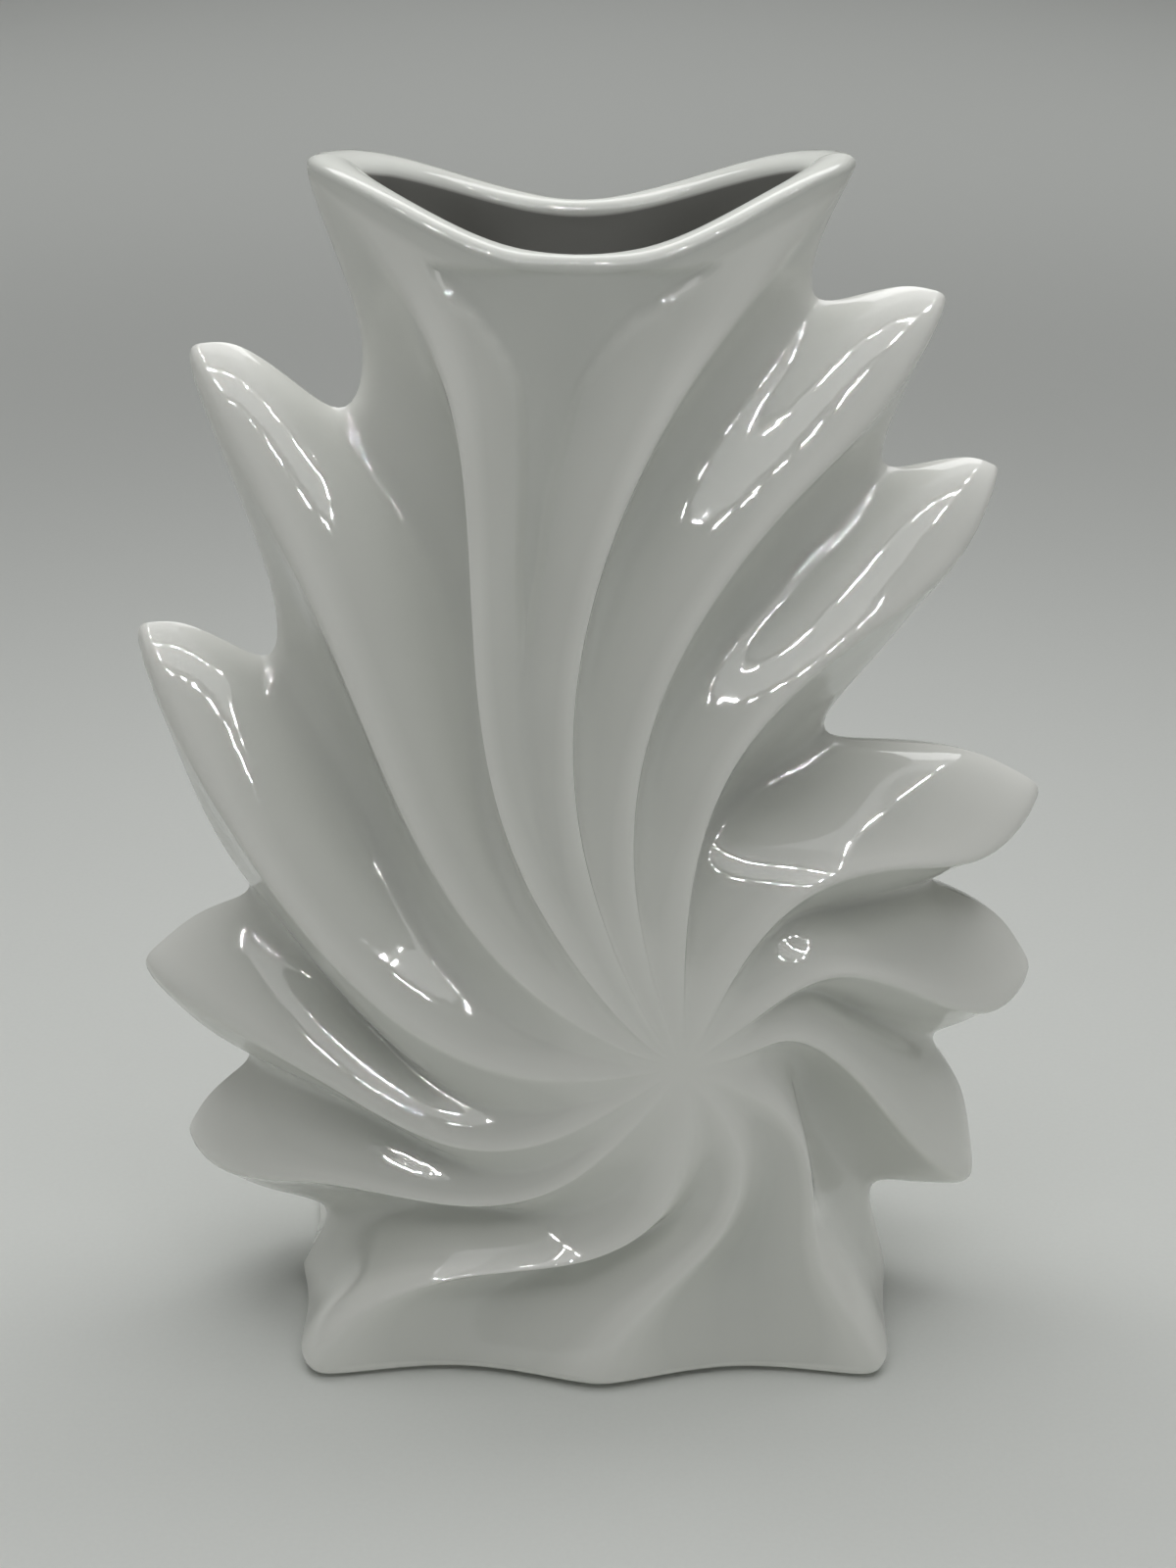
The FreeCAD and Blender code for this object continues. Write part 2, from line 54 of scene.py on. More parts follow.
# Each rib, clockwise from the left end of the mouth: where it leaves the hub, in degrees from +X,
# and its course from there to its tip as shares of half width, depth and height.
RIB_SHARES = [
    ("mouth_left", 150, ((-0.20, 0.93, 0.461), (-0.25, 0.83, 0.661), (-0.25, 0.69, 0.846),
                         (-0.44, 0.38, 0.949), (-0.62, 0.07, 1.012))),
    ("mouth_right", 133, ((-0.06, 0.90, 0.484), (-0.02, 0.83, 0.685), (0.18, 0.69, 0.846),
                          (0.41, 0.36, 0.933), (0.59, 0.07, 1.012))),
    ("right_top", 112, ((0.06, 0.90, 0.461), (0.14, 0.81, 0.626), (0.41, 0.60, 0.756),
                        (0.65, 0.29, 0.807), (0.77, 0.07, 0.890))),
    ("right_high", 92, ((0.20, 0.90, 0.433), (0.29, 0.81, 0.563), (0.56, 0.60, 0.642),
                        (0.82, 0.29, 0.677), (0.90, 0.07, 0.748))),
    ("right_middle", 65, ((0.32, 0.90, 0.386), (0.47, 0.79, 0.445), (0.69, 0.57, 0.449),
                          (0.92, 0.29, 0.413), (1.04, 0.07, 0.472))),
    ("right_low", 40, ((0.41, 0.90, 0.354), (0.55, 0.79, 0.374), (0.72, 0.60, 0.335),
                       (0.94, 0.29, 0.268), (1.03, 0.07, 0.303))),
    ("right_bottom", 12, ((0.40, 0.90, 0.319), (0.49, 0.83, 0.311), (0.62, 0.67, 0.256),
                          (0.78, 0.31, 0.138), (0.92, 0.07, 0.094))),
    ("foot_right", -20, ((0.44, 0.93, 0.260), (0.51, 0.95, 0.197), (0.50, 0.96, 0.105),
                         (0.69, 0.97, 0.030), (0.72, 0.96, -0.055))),
    ("foot_middle", -50, ((0.35, 0.95, 0.220), (0.33, 0.98, 0.150), (0.15, 1.02, 0.085),
                          (0.01, 1.08, 0.025), (-0.01, 1.07, -0.055))),
    ("foot_left", -78, ((0.22, 0.95, 0.165), (0.00, 0.98, 0.106), (-0.36, 0.96, 0.108),
                        (-0.65, 0.97, 0.045), (-0.70, 0.96, -0.055))),
    ("left_bottom", -125, ((-0.02, 0.93, 0.177), (-0.29, 0.86, 0.150), (-0.60, 0.64, 0.165),
                           (-0.86, 0.29, 0.122), (-0.95, 0.07, 0.146))),
    ("left_low", -150, ((-0.06, 0.93, 0.220), (-0.32, 0.86, 0.205), (-0.59, 0.64, 0.256),
                        (-0.87, 0.29, 0.287), (-1.04, 0.07, 0.311))),
    ("left_high", -172, ((-0.13, 0.93, 0.272), (-0.44, 0.86, 0.323), (-0.71, 0.64, 0.433),
                         (-0.91, 0.29, 0.543), (-1.01, 0.07, 0.618))),
    ("left_top", 165, ((-0.16, 0.93, 0.358), (-0.39, 0.83, 0.488), (-0.55, 0.64, 0.654),
                       (-0.73, 0.29, 0.760), (-0.87, 0.07, 0.850))),
]

# The outline on the seam between a rib and the next one, as shares of half width and height. On the
# right it is the underside of the petal above, the notch and the top edge of the petal below; on the
# left the same three in the other order. The mouth and the front of the foot have no outline.
OUTLINE_SHARES = {
    "mouth_right": ((0.48, 0.929), (0.46, 0.878), (0.67, 0.898)),
    "right_top": ((0.66, 0.799), (0.61, 0.744), (0.82, 0.760)),
    "right_high": ((0.66, 0.598), (0.46, 0.516), (0.85, 0.510)),
    "right_middle": ((0.85, 0.402), (0.75, 0.390), (0.94, 0.358)),
    "right_low": ((0.87, 0.252), (0.78, 0.244), (0.88, 0.189)),
    "right_bottom": ((0.77, 0.094), (0.65, 0.102), (0.72, 0.004)),
    "foot_left": ((-0.71, -0.004), (-0.59, 0.079), (-0.80, 0.094)),
    "left_bottom": ((-0.89, 0.185), (-0.76, 0.228), (-0.90, 0.252)),
    "left_low": ((-0.90, 0.358), (-0.74, 0.382), (-0.85, 0.429)),
    "left_high": ((-0.89, 0.622), (-0.68, 0.579), (-0.68, 0.646)),
    "left_top": ((-0.74, 0.854), (-0.51, 0.783), (-0.46, 0.846)),
}

# Across a flute, six lines lie between two ribs: their places along the way, and how much of the
# flute's depth each one has. The wall below the upper rib is steep, and the valley is a narrow crease.
RIGHT_PLACE_SHARES = (0.07, 0.18, 0.42, 0.52, 0.75, 0.91)
RIGHT_RELIEF_SHARES = (0.60, 0.92, 1.04, 0.94, 0.42, 0.06)
LEFT_PLACE_SHARES = tuple(1 - share for share in reversed(RIGHT_PLACE_SHARES))
LEFT_RELIEF_SHARES = tuple(reversed(RIGHT_RELIEF_SHARES))
PANEL_PLACE_SHARES = (0.10, 0.28, 0.42, 0.54, 0.74, 0.91)
PANEL_RELIEF_SHARES = (0.08, 0.56, 1.04, 1.00, 0.46, 0.06)
FOOT_PLACE_SHARES = (0.10, 0.25, 0.42, 0.58, 0.75, 0.90)
FOOT_RELIEF_SHARES = (0.10, 0.60, 1.00, 1.00, 0.60, 0.10)

# Each line has eight poles: five over the body, one near its edge, one on the seam and one behind it.
BODY_ROWS = range(5)
EDGE_ROW, SEAM_ROW, BEHIND_ROW = 5, 6, 7

# Along a flute, from the hub to the seam: its depth as a share of its width, and how far its lines
# have turned from the ribs towards the outline. Past the body its depth runs out.
FLUTE_DEPTH_SHARES = (0.0, 0.03, 0.15, 0.20, 0.25)
DEPTH_END_SHARES = (0.20, 0.08, 0.0)
TURN_SHARES = (0.0, 0.0, 0.08, 0.28, 0.62)

# The foot: the depth of its flutes, how far its sides stand forward, and on two rows how far the line
# over its right side is drawn back to the line above it.
FOOT_FLUTE_DEPTH_SHARE = 0.07
FOOT_SIDE_SHARE = 0.75
FOOT_WALL_SHARES = ((3, 0.30), (4, 0.55))

# Where a line stands between the last pole of the body and the outline, how far a rib's rounded top may
# reach, how the outline leaves the petal tips, and how fast the panel and the saddle level out.
EDGE_PLACE_SHARE = 0.60
EDGE_DEPTH_SHARE = 0.55
SHOULDER_LIMIT_SHARE = 0.50
EDGE_SHOULDER_SHARE = 1.3
TIP_UNDER_SHARE = 0.50
TIP_OVER_SHARE = 0.42
PANEL_LEVEL_SHARE = 1.3
SADDLE_SHARE = 2.0
HALF_SHARE = 0.5

# The hollow: how far a rib's line draws in towards the hollow's own outline, row by row, the lines
# behind the mouth's panel and the foot, and the way in which the lines beside the foot move inwards.
HOLLOW_TIP_SHARE = 0.35
HOLLOW_DRAW_SHARES = (0.0, 0.0, 0.0, 0.05, 0.25)
HOLLOW_PANEL_SHARES = (0.25, 0.50, 0.75)
HOLLOW_PANEL_LINES = (2.0, 3.5, 5.0)
HOLLOW_RELIEF_SHARE = 1.35
WELL_WALL_SHARES = (0.33, 0.67)
FOOT_SIDES = {"right_bottom": -1, "foot_right": -1, "foot_middle": 0, "foot_left": 1}

# The flat tongue between the two mouth ribs: shares of the height, and at each the shares of the way
# from the left rib to the right one where the tongue starts and ends.
TONGUE_HEIGHT_SHARES = (0.640, 0.697, 0.756, 0.845, 0.886, 0.918, 0.931)
TONGUE_LEFT_SHARES = (0.46, 0.38, 0.35, 0.31, 0.24, 0.16, 0.13)
TONGUE_RIGHT_SHARES = (0.47, 0.52, 0.51, 0.56, 0.66, 0.78, 0.82)

# How finely the surfaces are followed.
ACROSS_STEPS = 6
PANEL_STEPS = 16
ALONG_ROWS = 58
EDGE_ROWS = 12
HOLLOW_ROWS = 26
HOLLOW_EDGE_ROWS = 2
JOIN_ROWS = 11
FOOT_ARC_ROWS = 5
CAP_RINGS = 3
SEARCH_STEPS = 240
CHANGE_STEP = 4 / SEARCH_STEPS
HALVINGS = 30
SAME_PLACE = 1e-6
RING_CORNER_POINTS = 16
RING_EDGE_POINTS = 4
GLAZE_SHARP_ANGLE = math.radians(62)
CLAY_SHARP_ANGLE = math.radians(50)

# The finishes: how strongly the glaze bends light, the flute depth at which the thin glaze of a rib's top,
# lightened as painted light, ends and the depths between which glaze gathers, darkened as painted shade; then
# how fine the slow drift and the orange peel are beside the ripple, how fine the stains are beside the clay's
# grain, and the fibres of the paper.
GLAZE_IOR = 1.52
THIN_GLAZE_AND_LIGHT_END = 0.25
POOL_AND_SHADE_START, POOL_AND_SHADE_END = 0.1, 1.1
DRIFT_SHARE = 0.35
PEEL_SHARE = 5
STAIN_SHARE = 0.02
PAPER_FIBRES = 900.0

# The light box, in metres from the vase: the ceiling panels from the back to the front, the panel at its
# open front, its side walls, the fill, the ring of floor lights and the rows of small lamps.
CEILING_PANELS = (("back_panel", 0.17, "back_power"), ("middle_panel", 0.0, "middle_power"),
                  ("front_panel", -0.18, "front_power"))
CEILING_PANEL_SIZE = (0.70, 0.18)
ROOM_PANEL_DEPTH, ROOM_PANEL_AIM = -0.40, (0, -0.30, 0)
ROOM_PANEL_SIZE = (0.70, 0.20)
SIDE_PANEL_REACH, SIDE_PANEL_HEIGHT, SIDE_PANEL_AIM = 0.35, 0.30, (0, 0, 0.25)
SIDE_PANEL_SIZE = (0.4, 0.5)
FILL_PLACE, FILL_AIM = (0.45, -0.35, 0.30), (0, 0, 0.15)
FILL_SIZE = (0.3, 0.5)
WASH_PANELS = 8
WASH_PANEL_SIZE = (0.9, 0.9)
LAMP_DROP = 0.05
LAMP_ROW_DEPTHS = (-0.52, -0.28)
LAMP_ROW_STEPS = (-2, -1, 0, 1, 2)
SIDE_LAMP_REACH, SIDE_LAMP_START = 0.30, -0.42
SIDE_LAMPS = 4

SENSOR_LENGTH = 36

# The paper floor, as shares of its reach: the rings of its flat part, and its bend. Then its steps.
FLOOR_RING_SHARES = (0.02, 0.3, 0.6, 1.0)
FLOOR_BEND_SHARE = 0.25
FLOOR_BEND_STEPS = 12
FLOOR_SPOKES = 64


class ReliefSizes(bpy.types.PropertyGroup):
    """The sizes of the ribbed porcelain body."""

    half_width: bpy.props.FloatProperty(
        name="Half width", description="Half the width that the rib shares follow",
        default=0.093, min=0.02, unit="LENGTH")
    depth: bpy.props.FloatProperty(
        name="Depth", description="Depth of one half that the rib shares follow",
        default=0.042, min=0.01, unit="LENGTH")
    height: bpy.props.FloatProperty(
        name="Height", description="Height from the table to the ends of the mouth",
        default=0.254, min=0.05, unit="LENGTH")
    hub: bpy.props.FloatVectorProperty(
        name="Hub", description="Where all ribs meet on the front",
        default=(0.0195, -0.0375, 0.074), subtype="TRANSLATION", unit="LENGTH")
    hub_radius: bpy.props.FloatProperty(
        name="Hub radius", description="Radius at which the ribs start",
        default=0.003, min=0.001, unit="LENGTH")
    root_radius: bpy.props.FloatProperty(
        name="Root radius", description="How far from the hub each rib keeps its first heading",
        default=0.011, min=0.002, unit="LENGTH")
    root_swell: bpy.props.FloatProperty(
        name="Root swell", description="How far the ribs rise just outside the hub",
        default=0.001, min=0.0, unit="LENGTH")
    rib_shoulder: bpy.props.FloatProperty(
        name="Rib shoulder", description="Reach of a rib's rounded top to each side",
        default=0.0032, min=0.0005, unit="LENGTH")
    petal_edge: bpy.props.FloatProperty(
        name="Petal edge", description="Half thickness of the petals' rounded edge",
        default=0.003, min=0.0005, unit="LENGTH")
    panel_depth: bpy.props.FloatProperty(
        name="Panel depth", description="How far the lip stands forward of the seam",
        default=0.026, min=0.005, unit="LENGTH")
    panel_rise: bpy.props.FloatProperty(
        name="Panel rise", description="Height at which the front panel reaches the lip",
        default=0.238, min=0.05, unit="LENGTH")
    mouth_centre: bpy.props.FloatProperty(
        name="Mouth centre", description="Middle of the mouth along X",
        default=-0.0015, unit="LENGTH")
    mouth_half_width: bpy.props.FloatProperty(
        name="Mouth half width", description="From the middle of the mouth to its ends",
        default=0.054, min=0.01, unit="LENGTH")
    mouth_dip: bpy.props.FloatProperty(
        name="Mouth dip", description="How far the lip dips between the two ends",
        default=0.0152, min=0.0, unit="LENGTH")
    lip_round: bpy.props.FloatProperty(
        name="Lip rounding", description="Height of the lip's rounded top",
        default=0.0030, min=0.0005, unit="LENGTH")
    foot_round: bpy.props.FloatProperty(
        name="Foot rounding", description="Radius of the foot's lower edge",
        default=0.0026, min=0.0002, unit="LENGTH")
    wall: bpy.props.FloatProperty(
        name="Wall", description="Thickness of the porcelain behind the flutes",
        default=0.005, min=0.001, unit="LENGTH")
    notch_wall: bpy.props.FloatProperty(
        name="Wall at the notches", description="Thickness between a notch and the hollow",
        default=0.007, min=0.001, unit="LENGTH")
    mouth_end_wall: bpy.props.FloatProperty(
        name="Wall at the mouth's ends", description="Thickness at the two ends of the mouth",
        default=0.009, min=0.001, unit="LENGTH")
    overrun: bpy.props.FloatProperty(
        name="Overrun", description="How far the lines run past the mouth and the foot",
        default=0.010, min=0.001, unit="LENGTH")
    recess_depth: bpy.props.FloatProperty(
        name="Recess depth", description="How far the flat tongue between the mouth ribs is set back",
        default=0.0015, min=0.0, unit="LENGTH", precision=4)
    recess_edge: bpy.props.FloatProperty(
        name="Recess edge", description="Width of the slope around the flat tongue",
        default=0.0024, min=0.0002, unit="LENGTH", precision=4)
    edge_zone: bpy.props.FloatProperty(
        name="Edge zone", description="Stretch beside an edge that is followed more finely",
        default=0.009, min=0.001, unit="LENGTH")
    ring_band: bpy.props.FloatProperty(
        name="Ring band", description="Width of the foot ring's band",
        default=0.005, min=0.001, unit="LENGTH")
    ring_corner: bpy.props.FloatProperty(
        name="Ring corner", description="Outer radius of the foot ring's corners",
        default=0.012, min=0.001, unit="LENGTH")
    ring_edge: bpy.props.FloatProperty(
        name="Ring edge", description="Rounding of the foot ring's ground edges",
        default=0.0003, min=0.0, unit="LENGTH", precision=4)


class FinishSettings(bpy.types.PropertyGroup):
    """The colours and the gloss of the glaze and of the dry clay, with the glaze's painted light and painted
    shade.
    """

    glaze: bpy.props.FloatVectorProperty(
        name="Glaze", description="Colour of the glaze over the body of a flute",
        default=(0.79, 0.80, 0.755), min=0, max=1, subtype="COLOR")
    # Lighter colour over the ribs: thinner glaze, and painted light.
    thin_glaze_and_painted_light: bpy.props.FloatVectorProperty(
        name="Thin glaze", description="Colour where the glaze thins out over a rib",
        default=(0.91, 0.915, 0.87), min=0, max=1, subtype="COLOR")
    # Darker colour in the valleys, on the set-back tongue and over the lip: glaze gathered in the valleys,
    # and painted shade there, on the tongue and on the lip.
    pooled_glaze_and_painted_shade: bpy.props.FloatVectorProperty(
        name="Pooled glaze", description="Colour where the glaze gathers in a valley",
        default=(0.69, 0.705, 0.665), min=0, max=1, subtype="COLOR")
    # Dark colour inside the hollow: painted shade.
    inner_glaze: bpy.props.FloatVectorProperty(
        name="Inner glaze", description="Colour of the thin, dull glaze inside the hollow",
        default=(0.20, 0.20, 0.185), min=0, max=1, subtype="COLOR")
    glaze_roughness: bpy.props.FloatProperty(
        name="Glaze roughness", description="Roughness of the fired glaze",
        default=0.035, min=0, max=1, subtype="FACTOR")
    ripple_size: bpy.props.FloatProperty(
        name="Ripple size", description="Width of the soft waves in the glaze",
        default=0.007, min=0.001, unit="LENGTH")
    ripple_height: bpy.props.FloatProperty(
        name="Ripple height", description="Height of the soft waves in the glaze",
        default=0.00006, min=0, unit="LENGTH", precision=6)
    clay: bpy.props.FloatVectorProperty(
        name="Dry clay", description="Colour of the unglazed foot ring",
        default=(0.70, 0.67, 0.61), min=0, max=1, subtype="COLOR")
    grain_size: bpy.props.FloatProperty(
        name="Clay grain", description="Size of the grain in the dry clay",
        default=0.0006, min=0.0001, unit="LENGTH", precision=5)


class StudioSettings(bpy.types.PropertyGroup):
    """The floor, the lights and the camera."""

    floor: bpy.props.FloatVectorProperty(
        name="Floor", description="Colour of the paper floor",
        default=(0.765, 0.785, 0.755), min=0, max=1, subtype="COLOR")
    floor_reach: bpy.props.FloatProperty(
        name="Floor reach", description="From the vase to where the floor curves up",
        default=2.2, min=1.0, unit="LENGTH")
    wash_reach: bpy.props.FloatProperty(
        name="Floor light reach", description="From the vase to the panels that light the floor",
        default=1.25, min=0.5, unit="LENGTH")
    wash_height: bpy.props.FloatProperty(
        name="Floor light height", description="Height of the panels that light the floor",
        default=0.32, min=0.1, unit="LENGTH")
    wash_power: bpy.props.FloatProperty(
        name="Floor light", description="Power of each panel that lights the floor",
        default=1.35, min=0, unit="POWER")
    ceiling_height: bpy.props.FloatProperty(
        name="Ceiling height", description="Height of the light box's ceiling above the table",
        default=0.62, min=0.3, unit="LENGTH")
    back_power: bpy.props.FloatProperty(
        name="Back panel", description="Power of the ceiling panel behind the vase",
        default=1.8, min=0, unit="POWER")
    middle_power: bpy.props.FloatProperty(
        name="Middle panel", description="Power of the ceiling panel over the vase",
        default=0.6, min=0, unit="POWER")
    front_power: bpy.props.FloatProperty(
        name="Front panel", description="Power of the ceiling panel in front of the vase",
        default=0.3, min=0, unit="POWER")
    room_power: bpy.props.FloatProperty(
        name="Room light", description="Power of the light that comes in by the open front",
        default=0.85, min=0, unit="POWER")
    side_power: bpy.props.FloatProperty(
        name="Side panels", description="Power of each side wall", default=0.04, min=0, unit="POWER")
    fill_power: bpy.props.FloatProperty(
        name="Fill", description="Power of the fill from the front right",
        default=0.05, min=0, unit="POWER")
    lamp_power: bpy.props.FloatProperty(
        name="Lamps", description="Power of each small lamp that the glaze mirrors",
        default=0.3, min=0, unit="POWER")
    lamp_length: bpy.props.FloatProperty(
        name="Lamp length", description="Length of a small lamp", default=0.065, min=0.005, unit="LENGTH")
    lamp_width: bpy.props.FloatProperty(
        name="Lamp width", description="Width of a small lamp", default=0.0025, min=0.001, unit="LENGTH")
    lamp_spacing: bpy.props.FloatProperty(
        name="Lamp spacing", description="From one small lamp of a row to the next",
        default=0.12, min=0.01, unit="LENGTH")
    camera_distance: bpy.props.FloatProperty(
        name="Camera distance", description="From the camera to the middle of the vase",
        default=0.700, min=0.1, unit="LENGTH")
    camera_elevation: bpy.props.FloatProperty(
        name="Camera elevation", description="Angle of the view above the table",
        default=math.radians(24.5), unit="ROTATION")
    aim_height: bpy.props.FloatProperty(
        name="Aim height", description="Height that the camera looks at", default=0.1205, unit="LENGTH")
    lens: bpy.props.FloatProperty(
        name="Lens", description="Focal length on a 36 mm long side", default=77.4, min=10, unit="CAMERA")


def between(start, end, share):
    return start + (end - start) * share


def length_of(vector):
    return float(np.linalg.norm(vector))


def on_right(name):
    """Whether a flute ends on the right side of the outline."""
    return OUTLINE_SHARES[name][0][0] > 0


def shoulder_kept(point, crest, reach):
    """Draws a point in to its rib when it is further from it than the reach."""
    way = point - crest
    far = length_of(way)
    return point if far <= reach else crest + way * (reach / far)


class Relief:
    """The rule of the face: ribs out of one hub, flutes between them and an outline on the seam."""

    def __init__(self, sizes):
        self.sizes = sizes
        self.unit = np.array([sizes.half_width, -sizes.depth, sizes.height])
        self.hub = np.array(sizes.hub)
        self.ribs = [self.rib_line(angle, course) for name, angle, course in RIB_SHARES]
        self.names = [name for name, angle, course in RIB_SHARES]

    def on_seam(self, shares):
        return np.array([shares[0], 0, shares[1]]) * self.unit

    def rib_line(self, angle, course):
        """Poles of one rib: hub, root, five along the course, and one behind the seam."""
        turn = math.radians(angle)
        spoke = np.array([math.cos(turn), 0, math.sin(turn)])
        poles = [self.hub + spoke * self.sizes.hub_radius]
        poles.append(self.hub + spoke * self.sizes.root_radius - np.array([0, self.sizes.root_swell, 0]))
        poles += [np.array(shares) * self.unit for shares in course]
        tip = poles[-1]
        drop = self.sizes.overrun if tip[2] < 0 else 0
        poles.append(np.array([tip[0], self.sizes.petal_edge, tip[2] - drop]))
        return np.array(poles)

    def outline_points(self, name, first, second):
        """Six points along the seam between two petal tips."""
        marks = [self.on_seam(shares) for shares in OUTLINE_SHARES[name]]
        start = first[SEAM_ROW]
        end = second[SEAM_ROW]
        if on_right(name):
            under, notch, over = marks
            return [between(start, under, TIP_UNDER_SHARE), under, notch, between(notch, over, HALF_SHARE),
                    over, between(end, over, TIP_OVER_SHARE)]
        over, notch, under = marks
        return [between(start, over, TIP_OVER_SHARE), over, between(notch, over, HALF_SHARE), notch,
                under, between(end, under, TIP_UNDER_SHARE)]

    def inner_pole(self, first, second, row, place, relief, shift):
        """One pole of a flute, between the two ribs on rows 0 to 4."""
        chord = second[row] - first[row]
        pole = first[row] + chord * place + shift
        pole[1] += FLUTE_DEPTH_SHARES[row] * length_of(chord) * relief
        return pole

    def petal_line(self, first, second, place, relief, mark):
        """Poles of a flute line that ends on the seam outline."""
        turn = mark - between(first[SEAM_ROW], second[SEAM_ROW], place)
        turn[1] = 0
        poles = [self.inner_pole(first, second, row, place, relief, turn * TURN_SHARES[row])
                 for row in BODY_ROWS]
        edge = between(poles[-1], mark, EDGE_PLACE_SHARE)
        edge[1] = poles[-1][1] * EDGE_DEPTH_SHARE
        behind = self.sizes.petal_edge
        return poles + [edge, np.array([mark[0], -behind, mark[2]]), np.array([mark[0], behind, mark[2]])]

    def foot_line(self, first, second, place, relief):
        """Poles of a flute line that runs down through the floor."""
        poles = [self.inner_pole(first, second, row, place, relief, 0) for row in BODY_ROWS]
        for row in (EDGE_ROW, SEAM_ROW):
            chord = second[row] - first[row]
            pole = first[row] + chord * place
            pole[1] += FOOT_FLUTE_DEPTH_SHARE * length_of(chord) * relief
            poles.append(pole)
        side, _, rise = poles[SEAM_ROW]
        return poles + [np.array([side, self.sizes.petal_edge, rise - self.sizes.overrun])]

    def foot_side_line(self, line, corner):
        """A flute line beside a front corner of the foot, led down part of the way back."""
        side = line[SEAM_ROW][0]
        lower = [np.array([side, pole[1] * FOOT_SIDE_SHARE, pole[2]])
                 for pole in corner[EDGE_ROW:BEHIND_ROW]]
        return line[:EDGE_ROW] + lower + [np.array([side, self.sizes.petal_edge, corner[BEHIND_ROW][2]])]

    def mouth_line(self, first, second, place, relief, front):
        """Poles of a flute line that runs up through the mouth and over to the seam."""
        poles = [self.inner_pole(first, second, row, place, relief, 0) for row in BODY_ROWS]
        middle = min(1, PANEL_LEVEL_SHARE * 4 * place * (1 - place))
        edge = self.sizes.petal_edge
        height = self.sizes.height
        tops = ((-front, self.sizes.panel_rise), (edge - front, height + self.sizes.overrun),
                (edge, height + 2 * self.sizes.overrun))
        for row, (top_depth, top_rise) in zip((EDGE_ROW, SEAM_ROW, BEHIND_ROW), tops):
            side = between(first[row], second[row], place)
            poles.append(np.array([side[0], between(side[1], top_depth, middle),
                                   between(side[2], top_rise, middle)]))
        return poles

    def flute_lines(self, index):
        """The six lines between one rib and the next."""
        name = self.names[index]
        first = self.ribs[index]
        second = self.ribs[(index + 1) % len(self.ribs)]
        if name in OUTLINE_SHARES:
            places = RIGHT_PLACE_SHARES if on_right(name) else LEFT_PLACE_SHARES
            reliefs = RIGHT_RELIEF_SHARES if on_right(name) else LEFT_RELIEF_SHARES
            marks = self.outline_points(name, first, second)
            lines = [self.petal_line(first, second, *facts) for facts in zip(places, reliefs, marks)]
        elif name == "mouth_left":
            lines = [self.mouth_line(first, second, *facts, self.sizes.panel_depth)
                     for facts in zip(PANEL_PLACE_SHARES, PANEL_RELIEF_SHARES)]
        else:
            lines = [self.foot_line(first, second, *facts)
                     for facts in zip(FOOT_PLACE_SHARES, FOOT_RELIEF_SHARES)]
        shoulder = self.sizes.rib_shoulder
        for line, crest in ((lines[0], first), (lines[-1], second)):
            for row in BODY_ROWS[2:]:
                reach = min(shoulder, length_of(line[row] - crest[row]) * SHOULDER_LIMIT_SHARE)
                line[row] = shoulder_kept(line[row], crest[row], reach)
            line[EDGE_ROW] = shoulder_kept(line[EDGE_ROW], crest[EDGE_ROW], shoulder * EDGE_SHOULDER_SHARE)
        if name == "foot_left":
            lines[0] = self.foot_side_line(lines[0], first)
        if name == "right_bottom":
            for row, share in FOOT_WALL_SHARES:
                lines[-1][row] = between(lines[-1][row], lines[-2][row], share)
            lines[-1] = self.foot_side_line(lines[-1], second)
        return lines

    def face_net(self):
        """All lines of the face, clockwise, each rib followed by its flute, and each line's relief."""
        lines = []
        reliefs = []
        for index, rib in enumerate(self.ribs):
            lines += [rib] + self.flute_lines(index)
            name = self.names[index]
            shares = PANEL_RELIEF_SHARES
            if name in OUTLINE_SHARES:
                shares = RIGHT_RELIEF_SHARES if on_right(name) else LEFT_RELIEF_SHARES
            reliefs += [0.0, *shares]
        return np.array(lines), np.array(reliefs)

    def hollow_end(self, last, mark, inset):
        """The last three poles of a hollow line, ending inside the outline by the inset."""
        flat = np.array([1, 0, 1])
        way = (last - mark) * flat
        stop = mark * flat + way * (inset / length_of(way) if inset else 0)
        edge = between(last, stop, EDGE_PLACE_SHARE)
        edge[1] = last[1] * EDGE_DEPTH_SHARE
        behind = np.array([0, self.sizes.petal_edge, 0])
        return [edge, stop - behind, stop + behind]

    def foot_side(self, name, poles):
        """The line of the hollow, moved inwards where it runs beside the foot."""
        poles = np.array(poles)
        poles[2:, 0] += FOOT_SIDES.get(name, 0) * self.sizes.wall
        return poles

